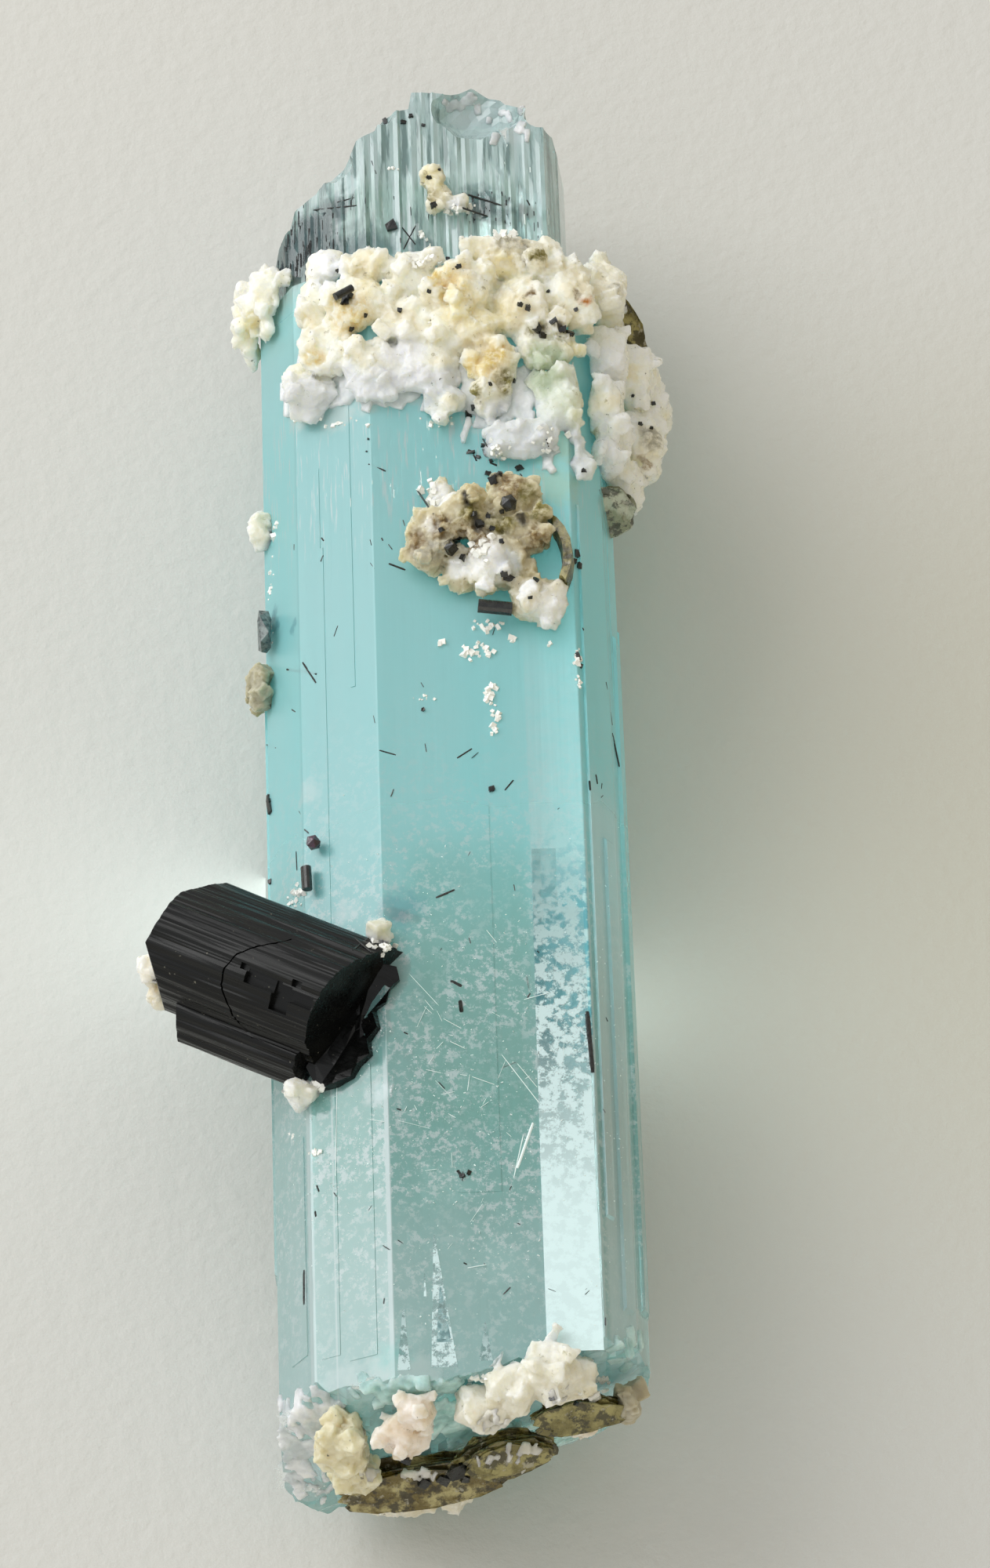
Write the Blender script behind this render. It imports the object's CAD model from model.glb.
"""Aquamarine crystal with the minerals that grew on it, dressed around the fixed frame of its solids.

Shapes are worked out in millimetres in the crystal's own coordinates: X across the prism, Y along it towards
the etched head, Z up from the floor. settle() turns them into the frame's metres.
"""

import math
import random

import bmesh
import bpy
from mathutils import Euler, Matrix, Vector, noise
from mathutils.bvhtree import BVHTree


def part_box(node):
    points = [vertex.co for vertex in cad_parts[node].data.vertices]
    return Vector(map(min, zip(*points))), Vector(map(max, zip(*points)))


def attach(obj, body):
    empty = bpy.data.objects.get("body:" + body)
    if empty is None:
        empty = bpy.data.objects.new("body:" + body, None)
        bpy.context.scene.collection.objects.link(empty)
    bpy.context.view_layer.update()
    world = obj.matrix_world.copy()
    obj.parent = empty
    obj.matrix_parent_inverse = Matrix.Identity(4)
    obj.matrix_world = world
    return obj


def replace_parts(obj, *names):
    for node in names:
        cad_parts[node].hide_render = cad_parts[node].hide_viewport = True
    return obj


bl_info = {
    "name": "Aquamarine crystal",
    "version": (1, 0, 0),
    "blender": (4, 5, 0),
    "location": "View3D > Sidebar > Aquamarine",
    "description": "Dresses an aquamarine specimen's solids with glassy beryl, albite, tourmaline and mica",
    "category": "Object",
}

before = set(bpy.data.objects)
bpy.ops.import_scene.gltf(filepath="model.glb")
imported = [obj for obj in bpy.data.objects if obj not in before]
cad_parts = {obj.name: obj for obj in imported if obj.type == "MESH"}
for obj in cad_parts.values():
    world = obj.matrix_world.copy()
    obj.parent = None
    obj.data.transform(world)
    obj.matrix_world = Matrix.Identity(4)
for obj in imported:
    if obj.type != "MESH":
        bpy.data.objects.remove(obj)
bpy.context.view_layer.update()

MM = 0.001
BODY = "root"

# The attribute of a sheet that says how strongly it shows, from 1 to 0.
FADE = "fade"

# The crystal's leftmost growth step and the end of its head, in its own coordinates. They place it.
BERYL_LEFT = -10.067
BERYL_TIP = 41.7
BERYL_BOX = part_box("aquamarine")
PLACE = Matrix.Translation(
    (BERYL_BOX[0].x - BERYL_LEFT * MM, BERYL_BOX[1].y - BERYL_TIP * MM, 0.0)
) @ Matrix.Scale(MM, 4)
PLACE_BACK = PLACE.inverted()

# The camera: its frame in pixels, its focal length in those pixels, and where it stands.
FRAME_WIDTH = 1263
FRAME_HEIGHT = 2000
FOCAL_PIXELS = 7875
CAMERA_AZIMUTH = math.radians(-1.8)
CAMERA_ELEVATION = math.radians(65.0)
CAMERA_DISTANCE = 350.0
CAMERA_AIM = Vector((2.9, 0.0, 9.0))
LONG_SENSOR = 36.0

# The beryl prism, as the solid has it.
PRISM_HEIGHT = 17.6
BASE_END = -42.0
SHOULDER = 29.4
HEAD_END = 44.0
HEAD_ROOT = 28.0
PRISM_SECTION = (
    (7.6, PRISM_HEIGHT), (-3.6, PRISM_HEIGHT), (-7.9, 14.8), (-9.9, 10.6), (-9.8, 6.0), (-7.6, 2.2),
    (-4.2, 0.0), (5.5, 0.0), (8.4, 2.6), (10.0, 6.4), (10.15, 10.6), (9.4, 14.6),
)
HEAD_SIDES = (
    (-8.3, 13.4), (-9.3, 10.2), (-9.1, 6.0), (-7.0, 2.6), (-4.0, 1.0), (4.6, 1.0), (7.2, 3.4),
    (8.1, 6.6), (8.15, 10.4), (7.75, 13.8),
)
HEAD_TOP_LEFT = (-3.8, 16.3)
HEAD_TOP_RIGHT = (6.9, 16.3)
HEAD_PLAN = (
    (-12.0, 26.0), (-12.0, 31.4), (-9.1, 31.8), (-8.7, 33.4), (-8.0, 33.8), (-7.7, 34.9), (-6.4, 35.6),
    (-5.3, 36.8), (-4.4, 37.3), (-4.0, 38.2), (-2.9, 38.8), (-2.4, 40.0), (-0.9, 40.2), (-0.7, 41.3),
    (1.2, 41.2), (2.8, 41.7), (4.5, 41.1), (6.1, 39.9), (6.3, 39.2), (7.3, 39.4), (7.8, 38.0),
    (12.0, 37.4), (12.0, 26.0),
)

# The ridges on the head's top: their distance and height, and the distance between its sections, in mm.
HEAD_RIDGE_PITCH = 0.22
HEAD_RIDGE_DEPTH = 0.11
HEAD_STATION = 0.5

# The lower end and the height of the block that trims the head to its plan.
PLAN_FLOOR = -3.0
PLAN_HEIGHT = 26.0

# Scoops broken out of the head, as (centre, half sizes).
HEAD_CHIPS = (
    ((3.2, 40.1, 19.4), (3.7, 2.7, 4.6)), ((-2.6, 40.0, 17.8), (1.3, 1.1, 2.3)),
    ((-5.6, 36.9, 16.6), (1.4, 1.2, 2.2)), ((6.9, 39.6, 16.0), (1.1, 0.9, 2.6)),
)

# The breaks of the base, as (point, (slope across, slope upwards)).
BASE_BREAKS = (
    ((-9.0, -40.9, 4.5), (0.25, 0.02)), ((-4.0, -39.7, 0.0), (0.33, -0.17)),
    ((-9.3, -38.1, 13.0), (-0.35, 0.36)),
)

# Growth steps: (side of the section, share along it from, to, y from, y to, height).
GROWTH_LEDGES = (
    (1, 0.20, 0.55, -37.0, -20.0, 0.035), (1, 0.66, 0.90, -36.5, 12.0, 0.03),
    (2, 0.15, 0.60, -36.0, -23.0, 0.06), (3, 0.30, 0.75, -30.0, 6.0, 0.20),
    (10, 0.20, 0.55, -34.0, 8.0, 0.22), (11, 0.12, 0.42, -35.0, -6.0, 0.20),
    (11, 0.58, 0.86, -30.0, 14.0, 0.16), (9, 0.25, 0.70, -33.0, 10.0, 0.20),
)
THIN_STEPS = 6
THIN_STEP_SIDES = (0, 0, 1, 2, 3, 4, 8, 9, 10, 11)

# Seeds of what is scattered.
STEP_SEED = 17
RIDGE_SEED = 5
CHIP_SEED = 70
NEEDLE_SEED = 23
DARK_SEED = 29
WHITE_SEED = 31
FLECK_SEED = 37
THREAD_SEED = 41

# The large tourmaline and the smaller crystal along its side.
SCHORL_START = Vector((-15.4, -11.3, 14.7))
SCHORL_END = Vector((-4.6, -17.2, 16.9))
SCHORL_RADIUS = 3.85
SCHORL_SIDES = 42
LEDGE_RADIUS = 1.8
LEDGE_SIDES = 22
LEDGE_OFFSET = (-3.1, -1.5)
LEDGE_START = 1.7
LEDGE_LENGTH = 9.7
SCHORL_OVERRUN = 0.5
SCHORL_BEVELS = (
    ((0.0, 0.0, 0.4), (-1.0, 0.10, 0.22)),
    ((0.35, -2.4, 0.0), (-1.0, -0.95, 0.10)),
    ((0.35, 2.2, 0.0), (-1.0, 0.85, 0.35)),
    ((0.9, 0.0, -2.6), (-1.0, 0.1, -0.9)),
)
SCHORL_BREAK = ((-0.2, 2.4, 2.0), (1.0, -0.28, 0.12))
HOLLOW_CENTRE = (1.2, -0.4, 0.9)
HOLLOW_RADII = (1.9, 2.2, 2.7)

# Pits in the tourmaline: (place along it, turn about its axis in degrees, length, width, depth).
SCHORL_PITS = (
    (7.7, 28, 2.2, 0.8, 0.35), (8.9, 36, 1.1, 1.6, 0.55), (10.0, 31, 1.6, 0.7, 0.45),
    (6.4, 22, 0.5, 0.35, 0.3), (9.6, 20, 0.6, 0.4, 0.35),
)

# The crack in the tourmaline, through these points of the camera's frame.
SCHORL_CRACK = (
    (372, 1198), (352, 1203), (328, 1207), (302, 1217), (286, 1235), (282, 1256), (290, 1280),
    (304, 1304), (322, 1324),
)

# Mica books: (name, centre, length, width, thickness, turn about x, y and z in degrees).
MICA_BOOKS = (
    ("mica_sliver", (11.3, 27.9, 12.3), 4.2, 1.5, 0.7, (0, 48, -50)),
    ("lobe_plate", (9.9, 15.2, 12.6), 3.1, 2.9, 0.9, (24, 52, -62)),
    ("mica_book_upper", (6.2, -38.9, 12.4), 5.2, 2.4, 1.3, (64, 8, 10)),
    ("mica_book_middle", (2.2, -40.1, 9.4), 5.4, 2.6, 1.2, (58, 6, 10)),
    ("mica_book_lower", (-2.2, -40.6, 7.0), 8.8, 3.0, 1.4, (60, -4, 6)),
)


def paint(red, green, blue):
    """A linear colour from display values of 0 to 255."""
    return tuple(((c / 255 + 0.055) / 1.055) ** 2.4 for c in (red, green, blue))


# Stains: name of the colour used in the patch tables below.
STAINS = {
    "ochre": paint(232, 212, 156),
    "gold": paint(206, 180, 100),
    "cream": paint(243, 233, 196),
    "rust": paint(196, 132, 62),
    "olive": paint(128, 120, 62),
    "brown": paint(132, 108, 66),
    "soot": paint(36, 30, 22),
    "clear": paint(244, 252, 250),
    "white": paint(250, 250, 246),
    "grey": paint(170, 166, 150),
    "green": paint(208, 222, 192),
}

# Stains that cover what is under them evenly.
FULL_STAINS = ("white", "clear", "green", "soot")

# Stains that let the beryl show through, and how opaque they are.
SEE_THROUGH = {"clear": 0.8, "green": 0.75}

# Patches of colour: (frame u, frame v, radius in mm, stain).
BAND_PATCHES = (
    (420, 345, 1.5, "white"), (450, 398, 1.7, "ochre"), (440, 385, 0.55, "olive"),
    (472, 360, 1.0, "cream"), (402, 455, 0.8, "ochre"), (382, 505, 1.7, "clear"),
    (415, 520, 1.8, "clear"), (445, 490, 1.7, "clear"), (490, 500, 1.8, "clear"),
    (535, 500, 1.8, "clear"), (575, 490, 1.5, "clear"), (640, 540, 1.6, "clear"),
    (512, 445, 1.5, "white"), (575, 360, 1.3, "ochre"), (590, 395, 1.8, "cream"),
    (552, 352, 0.7, "gold"), (625, 400, 1.5, "cream"), (630, 455, 1.2, "gold"),
    (648, 490, 0.9, "olive"), (605, 470, 1.0, "ochre"), (600, 500, 0.9, "olive"),
    (655, 318, 1.5, "grey"), (690, 325, 0.8, "olive"), (700, 470, 2.2, "green"),
    (735, 440, 1.2, "cream"), (686, 418, 0.6, "olive"), (712, 414, 0.4, "soot"),
    (748, 380, 0.5, "rust"), (738, 372, 0.4, "brown"), (790, 368, 0.6, "grey"),
    (675, 372, 0.4, "brown"), (770, 420, 0.9, "cream"), (640, 340, 1.5, "cream"),
    (660, 515, 1.0, "clear"),
)
KNOB_PATCHES = ((322, 418, 1.2, "cream"), (318, 372, 0.8, "white"))
VEIL_PATCHES = (
    (690, 480, 1.2, "green"), (712, 590, 3.0, "clear"), (650, 560, 3.0, "clear"),
)
LOBE_PATCHES = (
    (775, 470, 2.2, "white"), (835, 560, 1.1, "grey"), (826, 592, 0.5, "brown"),
    (748, 585, 0.8, "grey"), (752, 560, 0.7, "olive"), (775, 590, 1.6, "white"),
    (748, 490, 0.7, "olive"),
)
CLUSTER_PATCHES = (
    (548, 700, 1.7, "grey"), (562, 632, 1.2, "white"), (600, 655, 1.1, "olive"),
    (590, 676, 0.9, "brown"), (575, 690, 0.5, "soot"), (612, 668, 0.5, "soot"),
    (650, 620, 1.2, "brown"), (632, 608, 0.5, "soot"), (675, 630, 0.9, "olive"),
    (622, 712, 1.9, "white"), (585, 725, 0.9, "white"), (548, 668, 0.6, "white"),
    (608, 690, 1.0, "brown"), (642, 668, 1.0, "olive"), (668, 660, 0.6, "soot"),
    (594, 640, 0.5, "soot"), (650, 715, 1.0, "clear"), (615, 745, 0.8, "white"),
    (690, 690, 1.2, "brown"), (705, 775, 1.9, "white"), (715, 720, 1.2, "olive"),
    (668, 748, 1.1, "white"), (560, 670, 0.8, "brown"), (530, 690, 0.7, "brown"),
    (690, 650, 0.8, "olive"),
)
HEAD_PATCHES = (
    (550, 228, 0.8, "cream"), (545, 252, 0.7, "olive"), (560, 272, 0.5, "brown"),
    (580, 262, 0.9, "white"),
)
BASE_PATCHES = (
    (430, 1815, 1.9, "ochre"), (455, 1845, 1.3, "grey"), (515, 1820, 1.4, "white"),
    (640, 1770, 1.6, "cream"), (705, 1730, 1.8, "white"), (620, 1790, 0.9, "cream"),
    (600, 1845, 0.7, "olive"), (750, 1790, 0.8, "brown"),
)

# The patches of each grown mass that has some.
PATCHES = {
    "albite_band_grown": BAND_PATCHES,
    "albite_veil_grown": VEIL_PATCHES,
    "albite_knob_grown": KNOB_PATCHES,
    "head_lump_grown": HEAD_PATCHES,
    "cluster_grown": CLUSTER_PATCHES,
    "side_lobe_grown": LOBE_PATCHES,
    "base_gold_grown": BASE_PATCHES,
    "base_cream_grown": BASE_PATCHES,
}


def sight_axes():
    """The camera's right, up and backward directions."""
    back = Vector(
        (
            math.sin(CAMERA_AZIMUTH) * math.cos(CAMERA_ELEVATION),
            -math.cos(CAMERA_AZIMUTH) * math.cos(CAMERA_ELEVATION),
            math.sin(CAMERA_ELEVATION),
        )
    )
    right = Vector((math.cos(CAMERA_AZIMUTH), math.sin(CAMERA_AZIMUTH), 0.0))
    return right, back.cross(right), back


SIGHT_RIGHT, SIGHT_UP, SIGHT_BACK = sight_axes()
CAMERA_PLACE = CAMERA_AIM + SIGHT_BACK * CAMERA_DISTANCE


def sight_line(u, v):
    """The direction from the camera through a point of its frame."""
    across = (u - FRAME_WIDTH / 2) / FOCAL_PIXELS
    upwards = (FRAME_HEIGHT / 2 - v) / FOCAL_PIXELS
    return (SIGHT_RIGHT * across + SIGHT_UP * upwards - SIGHT_BACK).normalized()


def spot(tree, u, v, depth=0.0):
    """(point, outward normal) on the surface that shows at a point of the frame, or nearest to it."""
    line = sight_line(u, v)
    point, normal, _, _ = tree.ray_cast(CAMERA_PLACE, line)
    if point is None:
        beside = CAMERA_PLACE + line * (CAMERA_AIM - CAMERA_PLACE).dot(line)
        point, normal, _, _ = tree.find_nearest(beside)
    return point - normal * depth, normal


def settle(thing):
    """Puts a piece made in millimetres in its place in the frame."""
    thing.data.transform(PLACE)
    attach(thing, BODY)
    return thing


def object_of(name, form):
    """An object from a bmesh, with its faces turned outwards."""
    bmesh.ops.recalc_face_normals(form, faces=form.faces)
    mesh = bpy.data.meshes.new(name)
    form.to_mesh(mesh)
    form.free()
    thing = bpy.data.objects.new(name, mesh)
    bpy.context.scene.collection.objects.link(thing)
    return thing


def dress(thing, material):
    """Gives a piece one material."""
    thing.data.materials.clear()
    thing.data.materials.append(material)


def applied(thing):
    """Gives a piece the mesh that its modifiers make of it."""
    bpy.context.view_layer.update()
    graph = bpy.context.evaluated_depsgraph_get()
    result = bpy.data.meshes.new_from_object(thing.evaluated_get(graph))
    thing.modifiers.clear()
    old = thing.data
    thing.data = result
    bpy.data.meshes.remove(old)
    return thing


def fused(thing, voxel, softenings):
    """Grows the blocks of a piece into one soft skin."""
    remesh = thing.modifiers.new("fuse", "REMESH")
    remesh.mode = "VOXEL"
    remesh.voxel_size = voxel
    soften = thing.modifiers.new("soften", "SMOOTH")
    soften.factor = 0.6
    soften.iterations = softenings
    return applied(thing)


def combine(target, tools, operation):
    """Applies one Boolean of the target with each tool, and removes the tools."""
    for tool in tools:
        modifier = target.modifiers.new("combine", "BOOLEAN")
        modifier.operation = operation
        modifier.solver = "MANIFOLD"
        modifier.object = tool
    applied(target)
    for tool in tools:
        bpy.data.objects.remove(tool, do_unlink=True)
    return target


def tree_of(*things):
    """A search tree, in millimetres, over pieces that are in their place."""
    points = []
    faces = []
    for thing in things:
        start = len(points)
        points += [PLACE_BACK @ vert.co for vert in thing.data.vertices]
        faces += [[start + i for i in face.vertices] for face in thing.data.polygons]
    return BVHTree.FromPolygons(points, faces)


def loft_form(rings):
    """A bmesh through rings of points, closed at both ends."""
    form = bmesh.new()
    rows = [[form.verts.new(point) for point in ring] for ring in rings]
    form.faces.new(rows[0])
    form.faces.new(rows[-1][::-1])
    count = len(rows[0])
    for row, following in zip(rows, rows[1:]):
        for i in range(count):
            j = (i + 1) % count
            form.faces.new((row[i], row[j], following[j], following[i]))
    return form


def hull_form(points):
    """The convex form round some points."""
    form = bmesh.new()
    for point in points:
        form.verts.new(point)
    bmesh.ops.convex_hull(form, input=form.verts)
    loose = [vert for vert in form.verts if not vert.link_faces]
    bmesh.ops.delete(form, geom=loose, context="VERTS")
    return form


def cut_off(form, point, direction):
    """Takes away what lies beyond a plane, and closes the cut."""
    cut = bmesh.ops.bisect_plane(
        form,
        geom=form.verts[:] + form.edges[:] + form.faces[:],
        plane_co=point,
        plane_no=Vector(direction).normalized(),
        clear_outer=True,
    )
    edges = [part for part in cut["geom_cut"] if isinstance(part, bmesh.types.BMEdge)]
    if edges:
        bmesh.ops.contextual_create(form, geom=edges)


class Heap:
    """Many small closed forms gathered in one mesh."""

    def __init__(self):
        self.points = []
        self.faces = []
        self.fades = []

    def add(self, points, faces):
        start = len(self.points)
        self.points += [tuple(point) for point in points]
        self.faces += [tuple(start + i for i in face) for face in faces]

    def block(self, centre, sizes, turn, chance, jitter=0.18):
        """A cuboid with uneven corners."""
        corners = []
        for x, y, z in ((a, b, c) for a in (-1, 1) for b in (-1, 1) for c in (-1, 1)):
            shaken = [s * (1 + chance.uniform(-jitter, jitter)) for s in (x, y, z)]
            corners.append(centre + turn @ Vector([s * h for s, h in zip(shaken, sizes)]))
        faces = ((0, 1, 3, 2), (4, 6, 7, 5), (0, 4, 5, 1), (2, 3, 7, 6), (0, 2, 6, 4), (1, 5, 7, 3))
        self.add(corners, faces)

    def rod(self, start, end, radius, sides, taper=0.7):
        """A thin prism that narrows a little towards its ends."""
        along = (end - start).normalized()
        side = along.orthogonal().normalized()
        other = along.cross(side)
        rings = []
        for share, size in ((0.0, taper), (0.12, 1.0), (0.88, 1.0), (1.0, taper)):
            middle = start.lerp(end, share)
            for i in range(sides):
                angle = i * math.tau / sides
                out = side * math.cos(angle) + other * math.sin(angle)
                rings.append(middle + out * radius * size)
        faces = [tuple(range(sides))[::-1], tuple(range(3 * sides, 4 * sides))]
        for level in range(3):
            for i in range(sides):
                j = (i + 1) % sides
                low = level * sides
                faces.append((low + i, low + j, low + sides + j, low + sides + i))
        self.add(rings, faces)

    def piece(self, name, material, smooth=False):
        """The gathered forms as one piece, in its place."""
        mesh = bpy.data.meshes.new(name)
        mesh.from_pydata(self.points, [], self.faces)
        mesh.materials.append(material)
        if smooth:
            mesh.shade_smooth()
        if self.fades:
            mesh.attributes.new(FADE, "FLOAT", "POINT").data.foreach_set("value", self.fades)
        thing = bpy.data.objects.new(name, mesh)
        bpy.context.scene.collection.objects.link(thing)
        return settle(thing)


def random_turn(chance):
    return Euler([chance.uniform(0, math.tau) for _ in range(3)]).to_matrix()


class Finish:
    """A material and its node tree, with short calls for the nodes that these minerals need."""

    def __init__(self, name, roughness=0.5, ior=1.53):
        self.material = bpy.data.materials.new(name)
        self.material.use_nodes = True
        self.tree = self.material.node_tree
        self.shader = self.tree.nodes["Principled BSDF"]
        self.shader.inputs["Roughness"].default_value = roughness
        self.shader.inputs["IOR"].default_value = ior
        self.place = self.node("ShaderNodeTexCoord").outputs["Object"]

    def node(self, kind, links=(), **settings):
        """A node with its settings, and its inputs set or linked by name or number."""
        made = self.tree.nodes.new(kind)
        for key, value in settings.items():
            setattr(made, key, value)
        for key, value in dict(links).items():
            self.feed(made.inputs[key], value)
        return made

    def feed(self, socket, value):
        if isinstance(value, bpy.types.NodeSocket):
            self.tree.links.new(value, socket)
        elif isinstance(value, tuple) and len(value) == 3 and socket.type == "RGBA":
            socket.default_value = (*value, 1.0)
        else:
            socket.default_value = value

    def set(self, **sockets):
        """Sets or links the shader's own sockets; an underscore stands for a space."""
        for key, value in sockets.items():
            self.feed(self.shader.inputs[key.replace("_", " ")], value)

    def math(self, operation, first, second=0.0):
        return self.node("ShaderNodeMath", {0: first, 1: second}, operation=operation).outputs[0]

    def times(self, first, *others):
        """The product of shares."""
        for other in others:
            first = self.math("MULTIPLY", first, other)
        return first

    def vector(self, operation, first, second):
        return self.node("ShaderNodeVectorMath", {0: first, 1: second}, operation=operation)

    def noise(self, scale, detail, stretch=None, place=None, contrast=0.5):
        """A noise value from 0 to 1, with its scale in features to the metre."""
        where = place or self.place
        if stretch:
            where = self.vector("MULTIPLY", where, stretch).outputs[0]
        links = {"Vector": where, "Scale": scale, "Detail": detail, "Roughness": contrast}
        return self.node("ShaderNodeTexNoise", links).outputs["Fac"]

    def cells(self, scale, output="Distance"):
        return self.node("ShaderNodeTexVoronoi", {"Vector": self.place, "Scale": scale}).outputs[output]

    def range(self, value, low, high, to_low=0.0, to_high=1.0):
        links = {0: value, 1: low, 2: high, 3: to_low, 4: to_high}
        return self.node("ShaderNodeMapRange", links, interpolation_type="SMOOTHSTEP").outputs[0]

    def between(self, y, low, high, to_low=0.0, to_high=1.0):
        """A share that changes between two places along the prism."""
        return self.range(y, along_prism(low), along_prism(high), to_low, to_high)

    def blend(self, share, first, second):
        return self.node("ShaderNodeMix", {0: share, 6: first, 7: second}, data_type="RGBA").outputs[2]

    def warped(self, scale, reach):
        """The place, shaken by noise, so that an edge drawn with it is ragged."""
        links = {"Vector": self.place, "Scale": scale, "Detail": 3.0}
        colour = self.node("ShaderNodeTexNoise", links).outputs["Color"]
        centred = self.vector("SUBTRACT", colour, (0.5, 0.5, 0.5)).outputs[0]
        moved = self.vector("MULTIPLY", centred, (reach, reach, reach)).outputs[0]
        return self.vector("ADD", self.place, moved).outputs[0]

    def distance(self, place, centre):
        return self.vector("DISTANCE", place, tuple(centre)).outputs["Value"]

    def patch(self, base, place, centre, radius, colour, strength):
        """Lays a ragged round patch of colour over the base colour."""
        away = self.distance(place, centre)
        share = self.range(away, radius * 0.35, radius * 1.2, 1.0, 0.0)
        return self.blend(self.times(share, strength), base, colour)

    def bump(self, height, distance, strength, below=None):
        links = {"Height": height, "Distance": distance, "Strength": strength}
        if below is not None:
            links["Normal"] = below
        return self.node("ShaderNodeBump", links).outputs[0]

    def axis(self, name):
        return self.node("ShaderNodeSeparateXYZ", {0: self.place}).outputs[name]


def along_prism(y):
    """The frame's Y, in metres, of a place along the prism."""
    return (PLACE @ Vector((0.0, y, 0.0))).y


def across_prism(x):
    """The frame's X, in metres, of a place across the prism."""
    return (PLACE @ Vector((x, 0.0, 0.0))).x


# Tones of the beryl: white where bubbles and broken skin scatter light, darker where grains lie inside it.
BRIGHT = (0.84, 0.98, 1.0)
ICE = (0.80, 0.97, 0.96)
PALE_GREEN = (0.68, 0.88, 0.70)
DEEP_BLUE = (0.12, 0.42, 0.50)
SHADED_AQUA = (0.30, 0.66, 0.68)
SHADED_GREEN = (0.24, 0.56, 0.48)
ETCHED_GREY = (0.16, 0.25, 0.24)
SMOKY = (0.05, 0.12, 0.13)
FRESH_AQUA = (0.46, 0.98, 0.95)

# Clouds in the beryl: (frame u, frame v, radius in mm, tone, strength).
BERYL_CLOUDS = (
    (358, 340, 2.2, SMOKY, 0.95), (386, 318, 2.4, SMOKY, 0.9), (405, 290, 1.8, SMOKY, 0.8),
    (440, 325, 2.0, SMOKY, 0.8), (478, 312, 1.5, SMOKY, 0.65), (428, 262, 1.2, SMOKY, 0.6),
    (612, 258, 1.3, SMOKY, 0.75), (640, 268, 0.9, SMOKY, 0.6), (535, 318, 1.0, SMOKY, 0.6),
    (600, 152, 2.0, BRIGHT, 0.95), (655, 168, 1.1, BRIGHT, 0.9), (545, 128, 0.8, BRIGHT, 0.6),
    (690, 250, 1.3, BRIGHT, 0.5), (582, 262, 0.8, BRIGHT, 0.9), (448, 235, 0.6, BRIGHT, 0.8),
    (385, 520, 1.5, ICE, 0.9), (425, 522, 1.6, ICE, 0.95), (470, 500, 1.5, ICE, 0.95),
    (520, 490, 1.5, ICE, 0.95), (565, 490, 1.3, ICE, 0.9), (625, 530, 1.5, ICE, 0.8),
    (655, 570, 1.3, ICE, 0.7), (705, 560, 1.9, PALE_GREEN, 0.85), (712, 620, 1.6, PALE_GREEN, 0.7),
    (512, 1158, 1.4, DEEP_BLUE, 0.5), (350, 795, 0.9, DEEP_BLUE, 0.8), (375, 800, 0.6, DEEP_BLUE, 0.5),
    (440, 1165, 0.9, BRIGHT, 0.6), (395, 1010, 0.9, BRIGHT, 0.5), (385, 1395, 1.0, BRIGHT, 0.8),
    (485, 1395, 0.9, BRIGHT, 0.7), (372, 1860, 2.2, BRIGHT, 1.0), (395, 1815, 1.7, BRIGHT, 0.9),
    (390, 1900, 1.3, BRIGHT, 0.9), (440, 1760, 1.4, BRIGHT, 0.5), (500, 1740, 1.5, FRESH_AQUA, 0.6),
    (478, 1772, 1.8, ICE, 0.95), (530, 1762, 1.6, ICE, 0.95), (600, 1790, 1.6, ICE, 0.9),
    (575, 1790, 1.5, FRESH_AQUA, 0.95), (640, 1840, 1.5, FRESH_AQUA, 0.95),
    (720, 1825, 1.5, FRESH_AQUA, 0.95), (795, 1730, 1.2, FRESH_AQUA, 0.6),
)

# Strips along the prism: (middle and half width across it, from, to along it, tone, strength, softness).
BERYL_STRIPS = (
    (-5.8, 2.15, -18.0, 28.0, SHADED_AQUA, 0.45, 0.10),
    (1.5, 9.0, 34.5, 52.0, BRIGHT, 0.6, 0.10),
    (1.2, 3.2, -25.0, -6.0, SHADED_GREEN, 0.38, 0.8),
    (8.75, 0.85, -40.0, -2.0, BRIGHT, 0.8, 0.15),
    (-9.2, 1.2, -41.0, -16.0, BRIGHT, 0.35, 0.20),
    (-3.68, 0.14, -40.5, -18.0, BRIGHT, 0.9, 0.04),
    (-7.92, 0.16, -41.0, -19.0, BRIGHT, 0.9, 0.04),
    (-6.65, 0.05, -40.0, -19.0, BRIGHT, 0.7, 0.03),
    (9.45, 0.12, -37.0, -4.0, BRIGHT, 0.8, 0.04),
    (7.65, 0.06, -38.0, -4.0, BRIGHT, 0.7, 0.04),
)


def strip_share(finish, x, y, middle, half, low, high, soft):
    """How far a place lies inside a strip along the prism."""
    off = finish.math("ABSOLUTE", finish.math("SUBTRACT", x, across_prism(middle)))
    inside = finish.range(off, (half - soft) * MM, (half + soft) * MM, 1.0, 0.0)
    foot = finish.between(y, low, low + 1.5)
    top = finish.between(y, high - 4.0, high, 1.0, 0.0)
    return finish.times(inside, foot, top)


def beryl_streaks(finish, base, y):
    """The head's dark and bright streaks, and the fine white ones below the band."""
    columns = finish.noise(1900.0, 4.0, stretch=(1.0, 0.09, 1.0), contrast=0.65)
    head = finish.between(y, 27.5, 31.0)
    dark = finish.times(head, finish.range(columns, 0.36, 0.49, 0.8, 0.0))
    base = finish.blend(dark, base, ETCHED_GREY)
    light = finish.times(head, finish.range(columns, 0.52, 0.60, 0.0, 0.95))
    base = finish.blend(light, base, BRIGHT)
    threads = finish.noise(6500.0, 3.0, stretch=(1.0, 0.07, 1.0))
    rises = finish.between(y, 9.0, 15.0)
    stops = finish.between(y, 20.0, 23.0, 1.0, 0.0)
    share = finish.times(rises, stops, finish.range(threads, 0.57, 0.68, 0.0, 0.8))
    return finish.blend(share, base, BRIGHT)


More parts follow.
